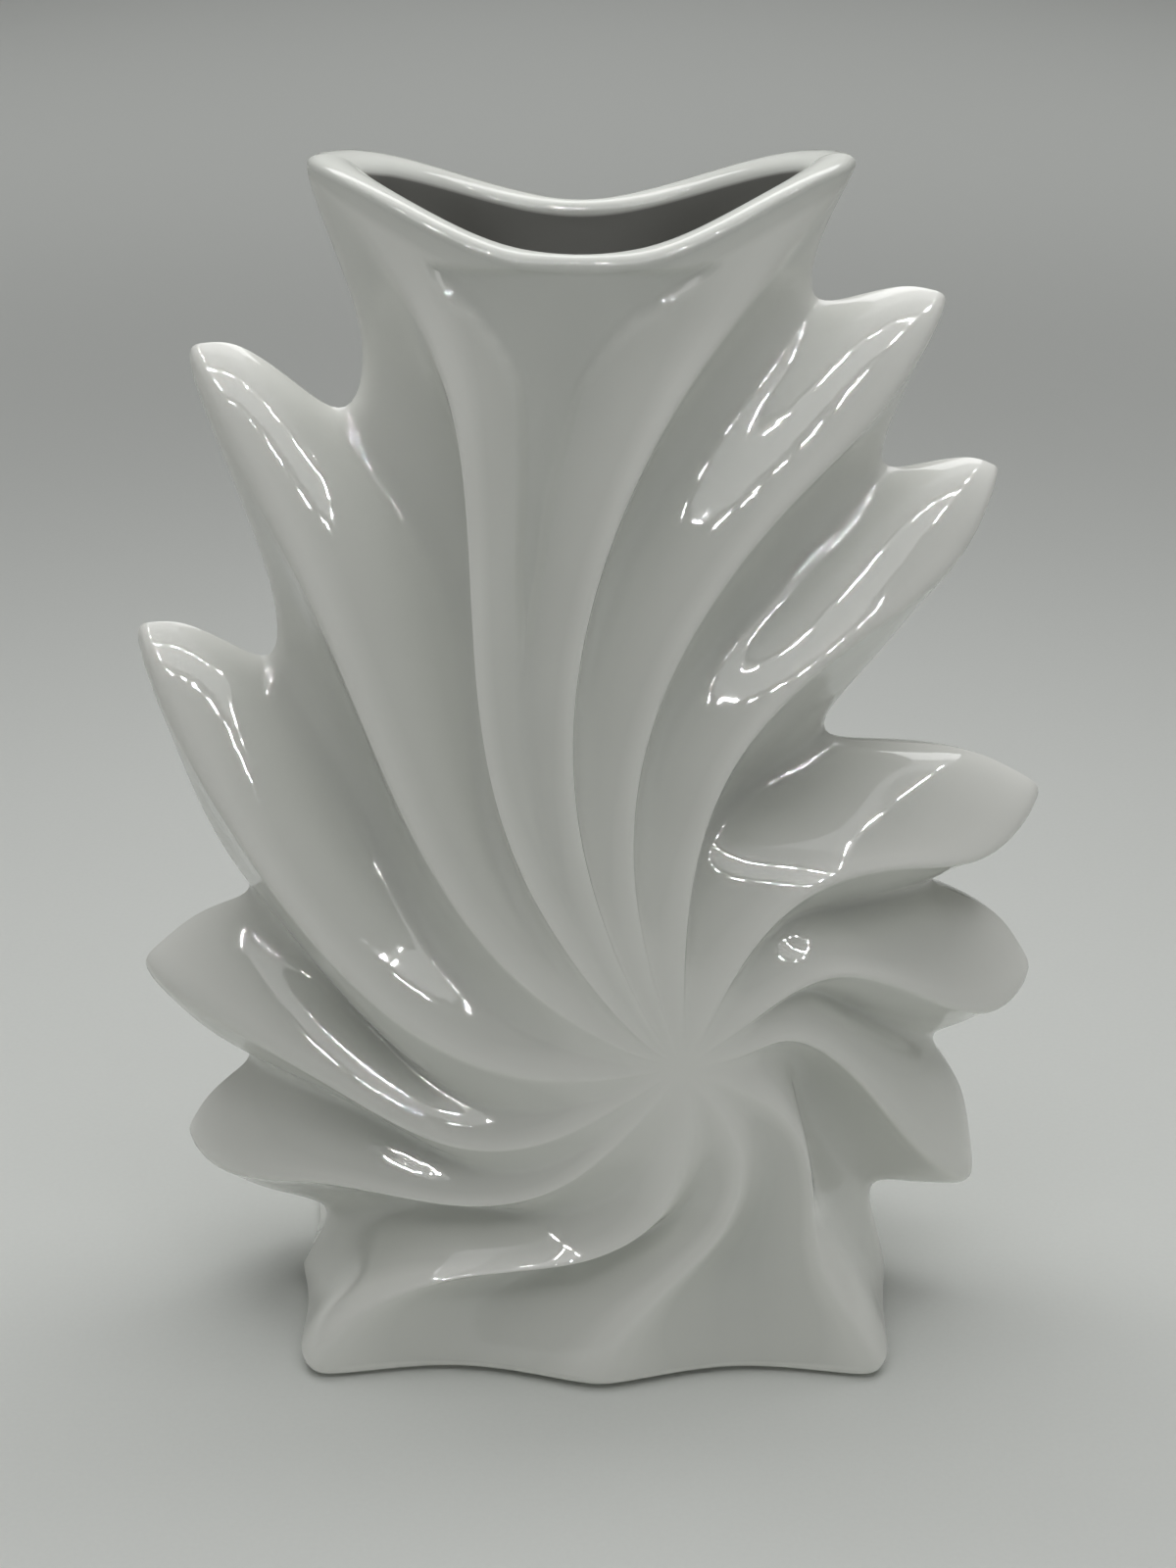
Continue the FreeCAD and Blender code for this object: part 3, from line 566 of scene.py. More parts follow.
    def hollow_rib(self, index):
        """The hollow's line behind a rib: level with the flutes beside it, and one wall behind them."""
        name = self.names[index]
        rib = self.ribs[index]
        before = self.ribs[index - 1]
        after = self.ribs[(index + 1) % len(self.ribs)]
        wall = self.sizes.wall
        poles = []
        for row in BODY_ROWS:
            span = max(length_of(before[row] - rib[row]), length_of(after[row] - rib[row]))
            pole = between(rib[row], rib[max(row - 1, 0)], HOLLOW_DRAW_SHARES[row])
            pole[1] = rib[row][1] + wall + HOLLOW_RELIEF_SHARE * FLUTE_DEPTH_SHARES[row] * span
            poles.append(pole)
        if name in ("mouth_left", "mouth_right"):
            inward = 1 if name == "mouth_left" else -1
            end = self.sizes.mouth_end_wall
            over = self.sizes.overrun
            poles[-2][0] += inward * wall
            poles[-1] = rib[EDGE_ROW - 1] + np.array([inward * wall, wall, 0])
            poles.append(rib[EDGE_ROW] + np.array([inward * (wall + end) / 2, wall, 0]))
            poles.append(rib[SEAM_ROW] + np.array([inward * end, 0, over / 2]))
            poles.append(rib[BEHIND_ROW] + np.array([inward * end, 0, over]))
            return np.array(poles)
        if name in FOOT_SIDES:
            behind = rib[BEHIND_ROW][1]
            poles += [np.array([pole[0], min(pole[1] + wall, behind), pole[2]]) for pole in rib[EDGE_ROW:]]
            return self.foot_side(name, poles)
        stop = between(poles[-1], rib[SEAM_ROW], HOLLOW_TIP_SHARE)
        return np.array(poles + self.hollow_end(poles[-1], stop, 0))

    def hollow_flute(self, index, inner_ribs):
        """The hollow's lines behind a flute, each with the place in the flute that it lies behind."""
        name = self.names[index]
        first = self.ribs[index]
        following = (index + 1) % len(self.ribs)
        second = self.ribs[following]
        wall = self.sizes.wall
        lines = []
        if name not in OUTLINE_SHARES:
            behind = self.sizes.petal_edge
            for place, spot in zip(HOLLOW_PANEL_SHARES, HOLLOW_PANEL_LINES):
                if name == "mouth_left":
                    low = self.mouth_line(first, second, place, HOLLOW_RELIEF_SHARE, 0)
                    high = self.mouth_line(inner_ribs[index], inner_ribs[following], place, 0,
                                           self.sizes.panel_depth - wall)
                    line = np.array(low[:EDGE_ROW] + high[EDGE_ROW:])
                    line[:EDGE_ROW, 1] += wall
                else:
                    line = np.array(self.foot_line(first, second, place, HOLLOW_RELIEF_SHARE))
                    line[:, 1] = np.minimum(line[:, 1] + wall, behind)
                lines.append((spot, line))
            return lines
        picks = [(1, 2, RIGHT_PLACE_SHARES[2]) if on_right(name) else (1, 3, LEFT_PLACE_SHARES[3])]
        if name == "mouth_right":
            picks.insert(0, (0, 1, RIGHT_PLACE_SHARES[1]))
        if name == "left_top":
            picks.append((2, 4, LEFT_PLACE_SHARES[4]))
        for pick, spot, place in picks:
            mark = self.on_seam(OUTLINE_SHARES[name][pick])
            line = self.petal_line(first, second, place, HOLLOW_RELIEF_SHARE, mark)[:EDGE_ROW]
            for pole in line:
                pole[1] += wall
            line += self.hollow_end(line[-1], mark, self.sizes.notch_wall)
            lines.append((spot + 1.0, self.foot_side(name, line)))
        return lines

    def hollow_net(self):
        """All lines of the hollow, and for each the place on the face that it lies behind."""
        inner_ribs = [self.hollow_rib(index) for index in range(len(self.ribs))]
        per_flute = 1 + len(PANEL_PLACE_SHARES)
        lines = []
        places = []
        for index, rib in enumerate(inner_ribs):
            lines.append(rib)
            places.append(float(per_flute * index))
            for spot, line in self.hollow_flute(index, inner_ribs):
                lines.append(line)
                places.append(per_flute * index + spot)
        return np.array(lines), np.array(places)

    def rim_height(self, side):
        """Height of the mouth's saddle at places along X."""
        share = np.minimum(1, np.abs(side - self.sizes.mouth_centre) / self.sizes.mouth_half_width)
        dip = 1 - SADDLE_SHARE * share ** 2 + (SADDLE_SHARE - 1) * share ** 4
        return self.sizes.height - self.sizes.mouth_dip * dip


def along_basis(count, places):
    """Weights of a line's poles at places from 0 to count - 3: a cubic spline with clamped ends."""
    knots = np.concatenate([np.zeros(3), np.arange(count - 2), np.full(3, count - 3)])
    places = np.clip(places, 0, count - 3 - 1e-9)[..., None]
    weights = ((places >= knots[:-1]) & (places < knots[1:])).astype(float)
    for degree in (1, 2, 3):
        reach = len(knots) - 1 - degree
        left = knots[degree:degree + reach] - knots[:reach]
        right = knots[degree + 1:] - knots[1:1 + reach]
        rise = (places - knots[:reach]) / np.where(left > 0, left, 1) * (left > 0)
        fall = (knots[degree + 1:] - places) / np.where(right > 0, right, 1) * (right > 0)
        weights = rise * weights[..., :-1] + fall * weights[..., 1:]
    return weights


def across_columns(net, places):
    """Pole lines at places across a closed net: a cubic spline with no ends."""
    whole = np.floor(places).astype(int)
    part = (places - whole)[:, None, None]
    weights = ((1 - part) ** 3, 3 * part ** 3 - 6 * part ** 2 + 4,
               1 + 3 * part + 3 * part ** 2 - 3 * part ** 3, part ** 3)
    return sum(weight * net[(whole + step) % len(net)] for weight, step in zip(weights, (-1, 0, 1, 2))) / 6


def on_columns(columns, places):
    """Points on the columns, at places of shape (columns, rows)."""
    return along_basis(columns.shape[1], places) @ columns


class Room:
    """The space in front of the seam, above the foot's underside and below the mouth's saddle."""

    SEAM, MOUTH, FOOT = 0, 1, 2

    def __init__(self, relief, floor):
        self.relief = relief
        self.floor = floor

    def beyond(self, points):
        """How far each point is past the seam, the mouth and the floor."""
        top = self.relief.rim_height(points[..., 0]) - self.relief.sizes.lip_round
        return np.stack([points[..., 1], points[..., 2] - top, self.floor - points[..., 2]], -1)

    def ends(self, columns):
        """Where each column first leaves the room, and through which of its three sides."""
        steps = np.linspace(0, columns.shape[1] - 3, SEARCH_STEPS)
        outside = self.beyond(on_columns(columns, np.tile(steps, (len(columns), 1)))).max(-1) > 0
        first = np.argmax(outside, 1)
        low = steps[first - 1]
        high = steps[first]
        for _ in range(HALVINGS):
            middle = (low + high) / 2
            out = self.beyond(on_columns(columns, middle[:, None]))[:, 0].max(-1) > 0
            high = np.where(out, middle, high)
            low = np.where(out, low, middle)
        side = np.argmax(self.beyond(on_columns(columns, high[:, None]))[:, 0], -1)
        return high, side

    def changes(self, net):
        """Places across the net where its edge passes from one side of the room to the next."""
        places = np.arange(0, len(net), CHANGE_STEP)
        side = self.ends(across_columns(net, places))[1]
        turns = np.nonzero(side != np.roll(side, 1))[0]
        return [(places[turn], (int(side[turn - 1]), int(side[turn]))) for turn in turns]


def rows_to_edge(columns, ends, rows, edge_rows, edge_zone):
    """Points from the hub to each column's end, closer together beside the end."""
    dense = np.linspace(0, 1, SEARCH_STEPS)[None, :] * ends[:, None]
    points = on_columns(columns, dense)
    run = np.cumsum(np.linalg.norm(np.diff(points, axis=1), axis=2), axis=1)
    run = np.hstack([np.zeros((len(run), 1)), run])
    steps = np.empty((len(columns), rows + edge_rows))
    near = edge_zone * (1 - np.arange(1, edge_rows + 1) / edge_rows) ** 2
    for index in range(len(columns)):
        whole = run[index, -1]
        zone = min(edge_zone, whole / 2)
        far = np.linspace(0, whole - zone, rows)
        stops = np.concatenate([far, whole - near * zone / edge_zone])
        steps[index] = np.interp(stops, run[index], dense[index])
    return on_columns(columns, steps), steps


def arch_rows(start, end, rise):
    """The lip's rounded top, from the face to the hollow."""
    turns = np.pi * np.arange(1, JOIN_ROWS + 1)[:, None] / (JOIN_ROWS + 1)
    return start + (end - start) * (1 - np.cos(turns)) / 2 + np.array([0, 0, rise]) * np.sin(turns)


def straight_rows(start, end):
    shares = np.arange(1, JOIN_ROWS + 1)[:, None] / (JOIN_ROWS + 1)
    return between(start, end, shares)


class HalfBuilder:
    """The front half as one closed mesh: the face, its edge, and the hollow behind it."""

    def __init__(self, sizes):
        self.sizes = sizes
        self.relief = Relief(sizes)
        plate_low, plate_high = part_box("base_plate")
        ring_low, ring_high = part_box("foot_ring")
        self.underside = ring_high.z
        self.seat = (plate_low.z, plate_high.z)
        self.well_centre = (plate_low.x + plate_high.x) / 2
        self.well_half = np.array([plate_high.x - plate_low.x, plate_high.y - plate_low.y]) / 2

    def well_point(self, point, level):
        """The point of the floor's well straight inwards from a point on the foot's edge."""
        way = np.array([point[0] - self.well_centre, point[1]])
        reach = np.max(np.abs(way) / self.well_half)
        inner = way / reach
        return np.array([self.well_centre + inner[0], inner[1], level])

    def foot_rows(self, start, end):
        """The foot's rounded lower edge, its underside, the floor's well and up to the hollow."""
        radius = self.sizes.foot_round
        corner = self.well_point(start, self.underside)
        inward = corner - start
        inward[2] = 0
        inward *= radius / length_of(inward)
        turns = np.pi / 2 * np.arange(1, FOOT_ARC_ROWS + 1)[:, None] / FOOT_ARC_ROWS
        arc = start + inward * (1 - np.cos(turns)) - np.array([0, 0, radius]) * np.sin(turns)
        wall = [self.well_point(start, level) for level in (self.underside, *self.seat)]
        return np.vstack([arc, between(arc[-1], wall[0], HALF_SHARE)[None], wall,
                          between(wall[-1], end, np.array(WELL_WALL_SHARES)[:, None])])

    def join_rows(self, start, end, side, on_seam):
        """Rows from the end of a column of the face to the end of the hollow's column behind it."""
        if side == Room.MOUTH:
            rows = arch_rows(start, end, self.sizes.lip_round)
        elif side == Room.FOOT:
            rows = self.foot_rows(start, end)
        else:
            rows = straight_rows(start, end)
        if on_seam:
            rows[:, 1] = 0
        return rows

    def places_across(self, count, turn_places):
        """Where the columns of the face stand, finer over the mouth's panel."""
        places = np.unique(np.concatenate([np.arange(0, count, 1 / ACROSS_STEPS),
                                           np.arange(0, len(PANEL_PLACE_SHARES) + 1, 1 / PANEL_STEPS),
                                           turn_places]))
        return places[np.append(np.diff(places) > SAME_PLACE, True)]

    def matched_places(self, places, outer_turns, inner_turns):
        """Pairs of a place on the face and the place on the hollow that lies behind it."""
        pairs = [(place, float(line)) for line, place in enumerate(places)]
        pairs += [(outer_place, inner_place) for outer_place, outer_sides in outer_turns
                  for inner_place, inner_sides in inner_turns if inner_sides == outer_sides]
        pairs.sort()
        kept = [pairs[0]]
        for pair in pairs[1:]:
            if min(pair[0] - kept[-1][0], pair[1] - kept[-1][1]) > SAME_PLACE:
                kept.append(pair)
        return kept

    def surface(self):
        """Rows of points, closed around, from the hub over the edge to the hub of the hollow."""
        face, reliefs = self.relief.face_net()
        hollow, places = self.relief.hollow_net()
        outer_room = Room(self.relief, self.underside + self.sizes.foot_round)
        inner_room = Room(self.relief, self.seat[1])
        zone = self.sizes.edge_zone
        outer_turns = outer_room.changes(face)
        turn_places = np.array([place for place, sides in outer_turns])
        across = self.places_across(len(face), turn_places)
        pairs = self.matched_places(places, outer_turns, inner_room.changes(hollow))
        pairs.append((len(face) + pairs[0][0], len(hollow) + pairs[0][1]))
        columns = across_columns(face, across)
        ends, sides = outer_room.ends(columns)
        outer, steps = rows_to_edge(columns, ends, ALONG_ROWS, EDGE_ROWS, zone)
        columns = across_columns(hollow, np.interp(across, *zip(*pairs)))
        inner, _ = rows_to_edge(columns, inner_room.ends(columns)[0], HOLLOW_ROWS, HOLLOW_EDGE_ROWS, zone)
        at_turn = np.abs(across[:, None] - turn_places[None, :]).min(1) < SAME_PLACE
        outer[at_turn, -1, 1] = 0
        tongue = self.tongue(across, outer)
        outer[..., 1] += tongue * self.sizes.recess_depth
        joins = np.array([self.join_rows(*facts)
                          for facts in zip(outer[:, -1], inner[:, -1], sides, at_turn)])
        # Painted shade: the depth mask that darkens the glaze is raised to 1 on the set-back tongue, rises
        # towards the mouth's edge and stays at its top over the lip's rounded top.
        depth = np.maximum(self.flute_depth(reliefs, across, steps), tongue)
        near = np.linspace(0, 1, EDGE_ROWS) * (sides == Room.MOUTH)[:, None]
        depth[:, -EDGE_ROWS:] = np.maximum(depth[:, -EDGE_ROWS:], near)
        rolled = np.repeat(near[:, -1:], JOIN_ROWS, axis=1)
        return outer, joins, inner[:, ::-1], np.hstack([depth, rolled])

    def tongue(self, across, points):
        """How far each point of the face belongs to the flat tongue between the mouth ribs, up to 1."""
        places = (0,) + PANEL_PLACE_SHARES + (1,)
        share = np.interp(across, np.arange(len(places)), places, right=1)[:, None]
        heights = np.array(TONGUE_HEIGHT_SHARES) * self.sizes.height
        rise = points[..., 2]
        left = np.interp(rise, heights, TONGUE_LEFT_SHARES)
        right = np.interp(rise, heights, TONGUE_RIGHT_SHARES)
        end = len(places) - 1
        first = points[0]
        last = points[np.argmin(np.abs(across - end))]
        width = np.abs(np.interp(rise, first[:, 2], first[:, 0]) - np.interp(rise, last[:, 2], last[:, 0]))
        inside = np.minimum.reduce([(share - left) * width, (right - share) * width, heights[-1] - rise])
        inside = np.minimum(inside, (rise - heights[0]) * HALF_SHARE)
        slope = np.clip(inside / self.sizes.recess_edge + HALF_SHARE, 0, 1)
        slope[across >= end] = 0
        return slope ** 2 * (3 - 2 * slope)

    def flute_depth(self, reliefs, across, steps):
        """How deep each point of the face lies in its flute, from 0 on a rib to 1 in a valley."""
        count = len(reliefs)
        over = np.interp(across, np.arange(count + 1), np.append(reliefs, reliefs[0]))
        shares = np.array(FLUTE_DEPTH_SHARES + DEPTH_END_SHARES) / max(FLUTE_DEPTH_SHARES)
        rows = np.arange(len(shares))
        along = np.interp(steps * (len(rows) - 1) / (len(rows) - 3), rows, shares)
        return over[:, None] * along

    def mesh(self, name):
        """The half as a mesh, with how deep each point lies in its flute (raised on the tongue and the lip)
        and whether it is inside: the masks of the glaze's painted light and shade.
        """
        outer, joins, inner, depth = self.surface()
        grid = np.concatenate([outer, joins, inner], axis=1)
        shares = np.arange(1, CAP_RINGS)[:, None, None] / CAP_RINGS
        centres = [grid[:, row].mean(0) for row in (0, -1)]
        caps = [np.swapaxes(between(grid[:, row][None], centre, shares), 0, 1)
                for row, centre in zip((0, -1), centres)]
        points = np.concatenate([caps[0][:, ::-1], grid, caps[1]], axis=1)
        around, down = points.shape[:2]
        verts = [tuple(point) for point in (*points.reshape(-1, 3), *centres)]
        faces = []
        for index in range(around):
            here = index * down
            there = (index + 1) % around * down
            faces.append((len(verts) - 2, there, here))
            for row in range(down - 1):
                faces.append((here + row, there + row, there + row + 1, here + row + 1))
            faces.append((len(verts) - 1, here + down - 1, there + down - 1))
        mesh = bpy.data.meshes.new(name)
        mesh.from_pydata(verts, [], faces)
        whole = np.zeros((around, down))
        start = CAP_RINGS - 1
        whole[:, start:start + depth.shape[1]] = depth
        hidden = np.zeros((around, down))
        hidden[:, start + depth.shape[1]:] = 1
        for title, field, ends in (("flute_depth", whole, (0, 0)), ("inside", hidden, (0, 1))):
            values = np.append(field.reshape(-1), ends).astype(np.float32)
            mesh.attributes.new(title, "FLOAT", "POINT").data.foreach_set("value", values)
        return mesh


def volume_of(mesh):
    """Signed volume inside a closed mesh: positive when its faces point outwards."""
    mesh.calc_loop_triangles()
    corners = np.empty(len(mesh.vertices) * 3, np.float32)
    mesh.vertices.foreach_get("co", corners)
    triangles = np.empty(len(mesh.loop_triangles) * 3, np.int32)
    mesh.loop_triangles.foreach_get("vertices", triangles)
    a, b, c = corners.reshape(-1, 3)[triangles.reshape(-1, 3)].transpose(1, 0, 2).astype(float)
    return float((a * np.cross(b, c)).sum() / 6)


def face_outwards(mesh):
    if volume_of(mesh) < 0:
        mesh.flip_normals()


class Socket:
    """A shader socket that takes part in arithmetic."""

    def __init__(self, tree, output):
        self.tree = tree
        self.output = output

    def combine(self, operation, first, second):
        node = self.tree.add("ShaderNodeMath", {"operation": operation}, {0: first, 1: second})
        return Socket(self.tree, node.outputs[0])

    def __add__(self, other):
        return self.combine("ADD", self, other)

    def __radd__(self, other):
        return self.combine("ADD", other, self)

    def __sub__(self, other):
        return self.combine("SUBTRACT", self, other)

    def __rsub__(self, other):
        return self.combine("SUBTRACT", other, self)

    def __mul__(self, other):
        return self.combine("MULTIPLY", self, other)

    def __rmul__(self, other):
        return self.combine("MULTIPLY", other, self)

    def __pow__(self, other):
        return self.combine("POWER", self, other)


class NodeTree:
    """Adds nodes to a material's or a modifier's tree."""

    def __init__(self, tree):
        self.tree = tree
        self.nodes = tree.nodes
        self.links = tree.links

    def add(self, kind, settings=None, inputs=None):
        """One node: its settings first, then the values or links of its sockets."""
        node = self.nodes.new(kind)
        for name, value in (settings or {}).items():
            if name == "stops":
                self.set_stops(node, value)
            else:
                setattr(node, name, value)
        for name, value in (inputs or {}).items():
            socket = node.inputs[name]
            if isinstance(value, Socket):
                self.links.new(value.output, socket)
            elif isinstance(value, bpy.types.NodeSocket):
                self.links.new(value, socket)
            else:
                socket.default_value = value
        return node

    def set_stops(self, node, stops):
        ramp = node.color_ramp
        while len(ramp.elements) < len(stops):
            ramp.elements.new(1)
        for element, (place, colour) in zip(ramp.elements, stops):
            element.position = place
            element.color = colour

    def out(self, kind, output, settings=None, inputs=None):
        return Socket(self, self.add(kind, settings, inputs).outputs[output])

    def noise(self, place, scale, detail, roughness=0.5):
        return self.out("ShaderNodeTexNoise", "Fac", {}, {
            "Vector": place, "Scale": scale, "Detail": detail, "Roughness": roughness})

    def mix(self, share, first, second):
        node = self.add("ShaderNodeMix", {"data_type": "RGBA"}, {0: share, 6: first, 7: second})
        return Socket(self, node.outputs[2])


def rgba(colour):
    return (*colour, 1.0)


def new_material(name):
    material = bpy.data.materials.new(name)
    material.use_nodes = True
    tree = NodeTree(material.node_tree)
    material.node_tree.nodes.clear()
    return material, tree


def darker(colour, share):
    return rgba([channel * share for channel in colour])


def close_material(tree, inputs):
    shader = tree.add("ShaderNodeBsdfPrincipled", {}, inputs)
    tree.add("ShaderNodeOutputMaterial", {}, {"Surface": shader.outputs[0]})


def glaze_material(finish):
    """Fired white glaze: thin on the ribs and lightened there as painted light; gathered in the valleys and
    darkened there as painted shade, with the same painted shade on the set-back tongue and the lip, and
    painted shade inside the hollow; softly rippled and very glossy.
    """
    material, tree = new_material("white_glaze")
    place = tree.out("ShaderNodeTexCoord", "Object")
    depth = tree.out("ShaderNodeAttribute", "Fac", {"attribute_name": "flute_depth"})
    drift = tree.noise(place, DRIFT_SHARE / finish.ripple_size, 3.0)
    ripple = tree.noise(place, 1 / finish.ripple_size, 1.0, 0.4)
    peel = tree.noise(place, PEEL_SHARE / finish.ripple_size, 0.0)
    # Painted shade and light: the colour darkens with the flute_depth mask (valleys, tongue, lip) and
    # lightens where it is low (ribs).
    pool_and_shade = depth ** 1.5 + (drift - 0.5) * 0.25
    thin_and_light = tree.out("ShaderNodeMapRange", 0, {}, {0: depth, 1: 0.0, 2: THIN_GLAZE_AND_LIGHT_END, 3: 1.0, 4: 0.0})
    over_ribs = tree.mix(thin_and_light, rgba(finish.glaze), rgba(finish.thin_glaze_and_painted_light))
    share = tree.out("ShaderNodeMapRange", 0, {}, {0: pool_and_shade, 1: POOL_AND_SHADE_START, 2: POOL_AND_SHADE_END, 3: 0.0, 4: 1.0})
    outside = tree.mix(share, over_ribs, rgba(finish.pooled_glaze_and_painted_shade))
    # Inside the hollow the colour is painted dark as shade.
    inside = tree.out("ShaderNodeAttribute", "Fac", {"attribute_name": "inside"})
    colour = tree.mix(inside, outside, rgba(finish.inner_glaze))
    roughness = finish.glaze_roughness + (drift - 0.5) * 0.03 + inside * 0.25
    height = (ripple + peel * 0.12) * finish.ripple_height
    normal = tree.out("ShaderNodeBump", 0, {}, {"Strength": 1.0, "Distance": 1.0, "Height": height})
    close_material(tree, {"Base Color": colour, "Roughness": roughness, "Normal": normal, "IOR": GLAZE_IOR})
    return material


def shaded_inner_glaze_material(finish):
    """The glaze on the floor inside the vase: dull, and painted dark as shade."""
    material, tree = new_material("inner_glaze")
    place = tree.out("ShaderNodeTexCoord", "Object")
    drift = tree.noise(place, DRIFT_SHARE / finish.ripple_size, 3.0)
    colour = tree.mix(drift, rgba(finish.inner_glaze), darker(finish.inner_glaze, 0.85))
    close_material(tree, {"Base Color": colour, "Roughness": 0.25 + drift * 0.1, "IOR": GLAZE_IOR})
    return material


def clay_material(finish):
    """Dry fired clay, ground flat: matt, grainy and a little stained by the table."""
    material, tree = new_material("dry_clay")
    place = tree.out("ShaderNodeTexCoord", "Object")
    grain = tree.noise(place, 1 / finish.grain_size, 4.0, 0.6)
    stain = tree.noise(place, STAIN_SHARE / finish.grain_size, 2.0)
    colour = tree.mix((grain * 0.6 + stain * 0.6) ** 2.0, rgba(finish.clay), darker(finish.clay, 0.72))
    normal = tree.out("ShaderNodeBump", 0, {}, {
        "Strength": 1.0, "Distance": 1.0, "Height": grain * (finish.grain_size * 0.2)})
    close_material(tree, {"Base Color": colour, "Roughness": 0.75 + grain * 0.2, "Normal": normal})
    return material


def paper_material(studio):
    """The plain pale paper of the floor."""
    material, tree = new_material("paper")
    place = tree.out("ShaderNodeTexCoord", "Object")
    fibre = tree.noise(place, PAPER_FIBRES, 2.0)
    colour = tree.mix(fibre, rgba(studio.floor), darker(studio.floor, 0.96))
    close_material(tree, {"Base Color": colour, "Roughness": 0.8})
    return material


def made_once(maker, name, settings):
    """A material is made by the first piece that asks for it and shared by the rest."""
    return bpy.data.materials.get(name) or maker(settings)


def new_object(name, mesh):
    piece = bpy.data.objects.new(name, mesh)
    bpy.context.scene.collection.objects.link(piece)
    return piece


def soften(mesh, angle):
    mesh.shade_smooth()
    mesh.set_sharp_from_angle(angle=angle)


def node_group(name, sockets):
    """An empty geometry tree with named inputs, and its input and output nodes."""
    group = bpy.data.node_groups.new(name, "GeometryNodeTree")
    group.interface.new_socket("Geometry", in_out="INPUT", socket_type="NodeSocketGeometry")
    for socket_name, kind in sockets:
        group.interface.new_socket(socket_name, in_out="INPUT", socket_type=kind)
    group.interface.new_socket("Geometry", in_out="OUTPUT", socket_type="NodeSocketGeometry")
    tree = NodeTree(group)
    return group, tree, tree.add("NodeGroupInput")


def finish_group(tree, geometry, material):
    """Every tree ends in plain geometry with its material set."""
    realized = tree.add("GeometryNodeRealizeInstances", {}, {"Geometry": geometry})
    painted = tree.add("GeometryNodeSetMaterial", {}, {
        "Geometry": realized.outputs[0], "Material": material})
    output = tree.add("NodeGroupOutput")
    tree.links.new(painted.outputs[0], output.inputs[0])


def grown_mesh(carrier_mesh, group, values, name):
    """Runs a geometry tree on a mesh with its inputs set, and returns the plain mesh that it makes."""
    carrier = new_object(name + "_carrier", carrier_mesh)
    modifier = carrier.modifiers.new("shape", "NODES")
    modifier.node_group = group
    for item in group.interface.items_tree:
        if item.item_type == "SOCKET" and item.in_out == "INPUT" and item.name in values:
            modifier[item.identifier] = values[item.name]
    graph = bpy.context.evaluated_depsgraph_get()
    mesh = bpy.data.meshes.new_from_object(carrier.evaluated_get(graph))
    mesh.name = name
    bpy.data.objects.remove(carrier)
    return mesh


def mirror_group():
    """Turns a half of the vase into its opposite half, mirrored on the seam."""
    group, tree, source = node_group("mirror_half", (("Glaze", "NodeSocketMaterial"),))
    turned = tree.add("GeometryNodeTransform", {}, {
        "Geometry": source.outputs["Geometry"], "Scale": (1.0, -1.0, 1.0)})
    finish_group(tree, turned.outputs[0], source.outputs["Glaze"])
    return group


def ring_group():
    """A flat band with rounded edges that follows a rectangle with rounded corners."""
    sockets = [(name, "NodeSocketFloat") for name in
               ("Length", "Width", "Band", "Height", "Corner", "Edge")]
    group, tree, source = node_group("foot_ring_path", sockets + [("Clay", "NodeSocketMaterial")])

    def value(name):
        return Socket(tree, source.outputs[name])

    path = tree.add("GeometryNodeCurvePrimitiveQuadrilateral", {"mode": "RECTANGLE"}, {
        "Width": value("Length") - value("Band"), "Height": value("Width") - value("Band")})
    rounded = tree.add("GeometryNodeFilletCurve", {"mode": "POLY"}, {
        "Curve": path.outputs[0], "Count": RING_CORNER_POINTS,
        "Radius": value("Corner") - value("Band") * HALF_SHARE})
    section = tree.add("GeometryNodeCurvePrimitiveQuadrilateral", {"mode": "RECTANGLE"}, {
        "Width": value("Band"), "Height": value("Height")})
    eased = tree.add("GeometryNodeFilletCurve", {"mode": "POLY"}, {
        "Curve": section.outputs[0], "Count": RING_EDGE_POINTS, "Radius": value("Edge")})
    band = tree.add("GeometryNodeCurveToMesh", {}, {
        "Curve": rounded.outputs[0], "Profile Curve": eased.outputs[0]})
    finish_group(tree, band.outputs[0], source.outputs["Clay"])
    return group


class FANVASE_OT_halves(bpy.types.Operator):
    """Make the two ribbed halves of the body, glazed inside and out"""

    bl_idname = "fanvase.halves"
    bl_label = "Ribbed halves"

    def execute(self, context):
        sizes = context.scene.fan_vase_relief
        glaze = made_once(glaze_material, "white_glaze", context.scene.fan_vase_finish)
        front_mesh = HalfBuilder(sizes).mesh("front_half")
        face_outwards(front_mesh)
        front_mesh.materials.append(glaze)
        back_mesh = grown_mesh(front_mesh.copy(), mirror_group(), {"Glaze": glaze}, "back_half")
        face_outwards(back_mesh)
        for name, mesh, node in (("front_half", front_mesh, "front_shell"),
                                 ("back_half", back_mesh, "back_shell")):
            soften(mesh, GLAZE_SHARP_ANGLE)
            piece = new_object(name, mesh)
            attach(piece, "root")
            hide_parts(node)
        return {"FINISHED"}


class FANVASE_OT_floor_plate(bpy.types.Operator):
    """Glaze the floor of the vase"""

    bl_idname = "fanvase.floor_plate"
    bl_label = "Floor plate"

    def execute(self, context):
        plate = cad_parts["base_plate"]
        # The floor inside the vase is painted dark as shade.
        plate.data.materials.clear()
        plate.data.materials.append(
            made_once(shaded_inner_glaze_material, "inner_glaze", context.scene.fan_vase_finish))
        return {"FINISHED"}


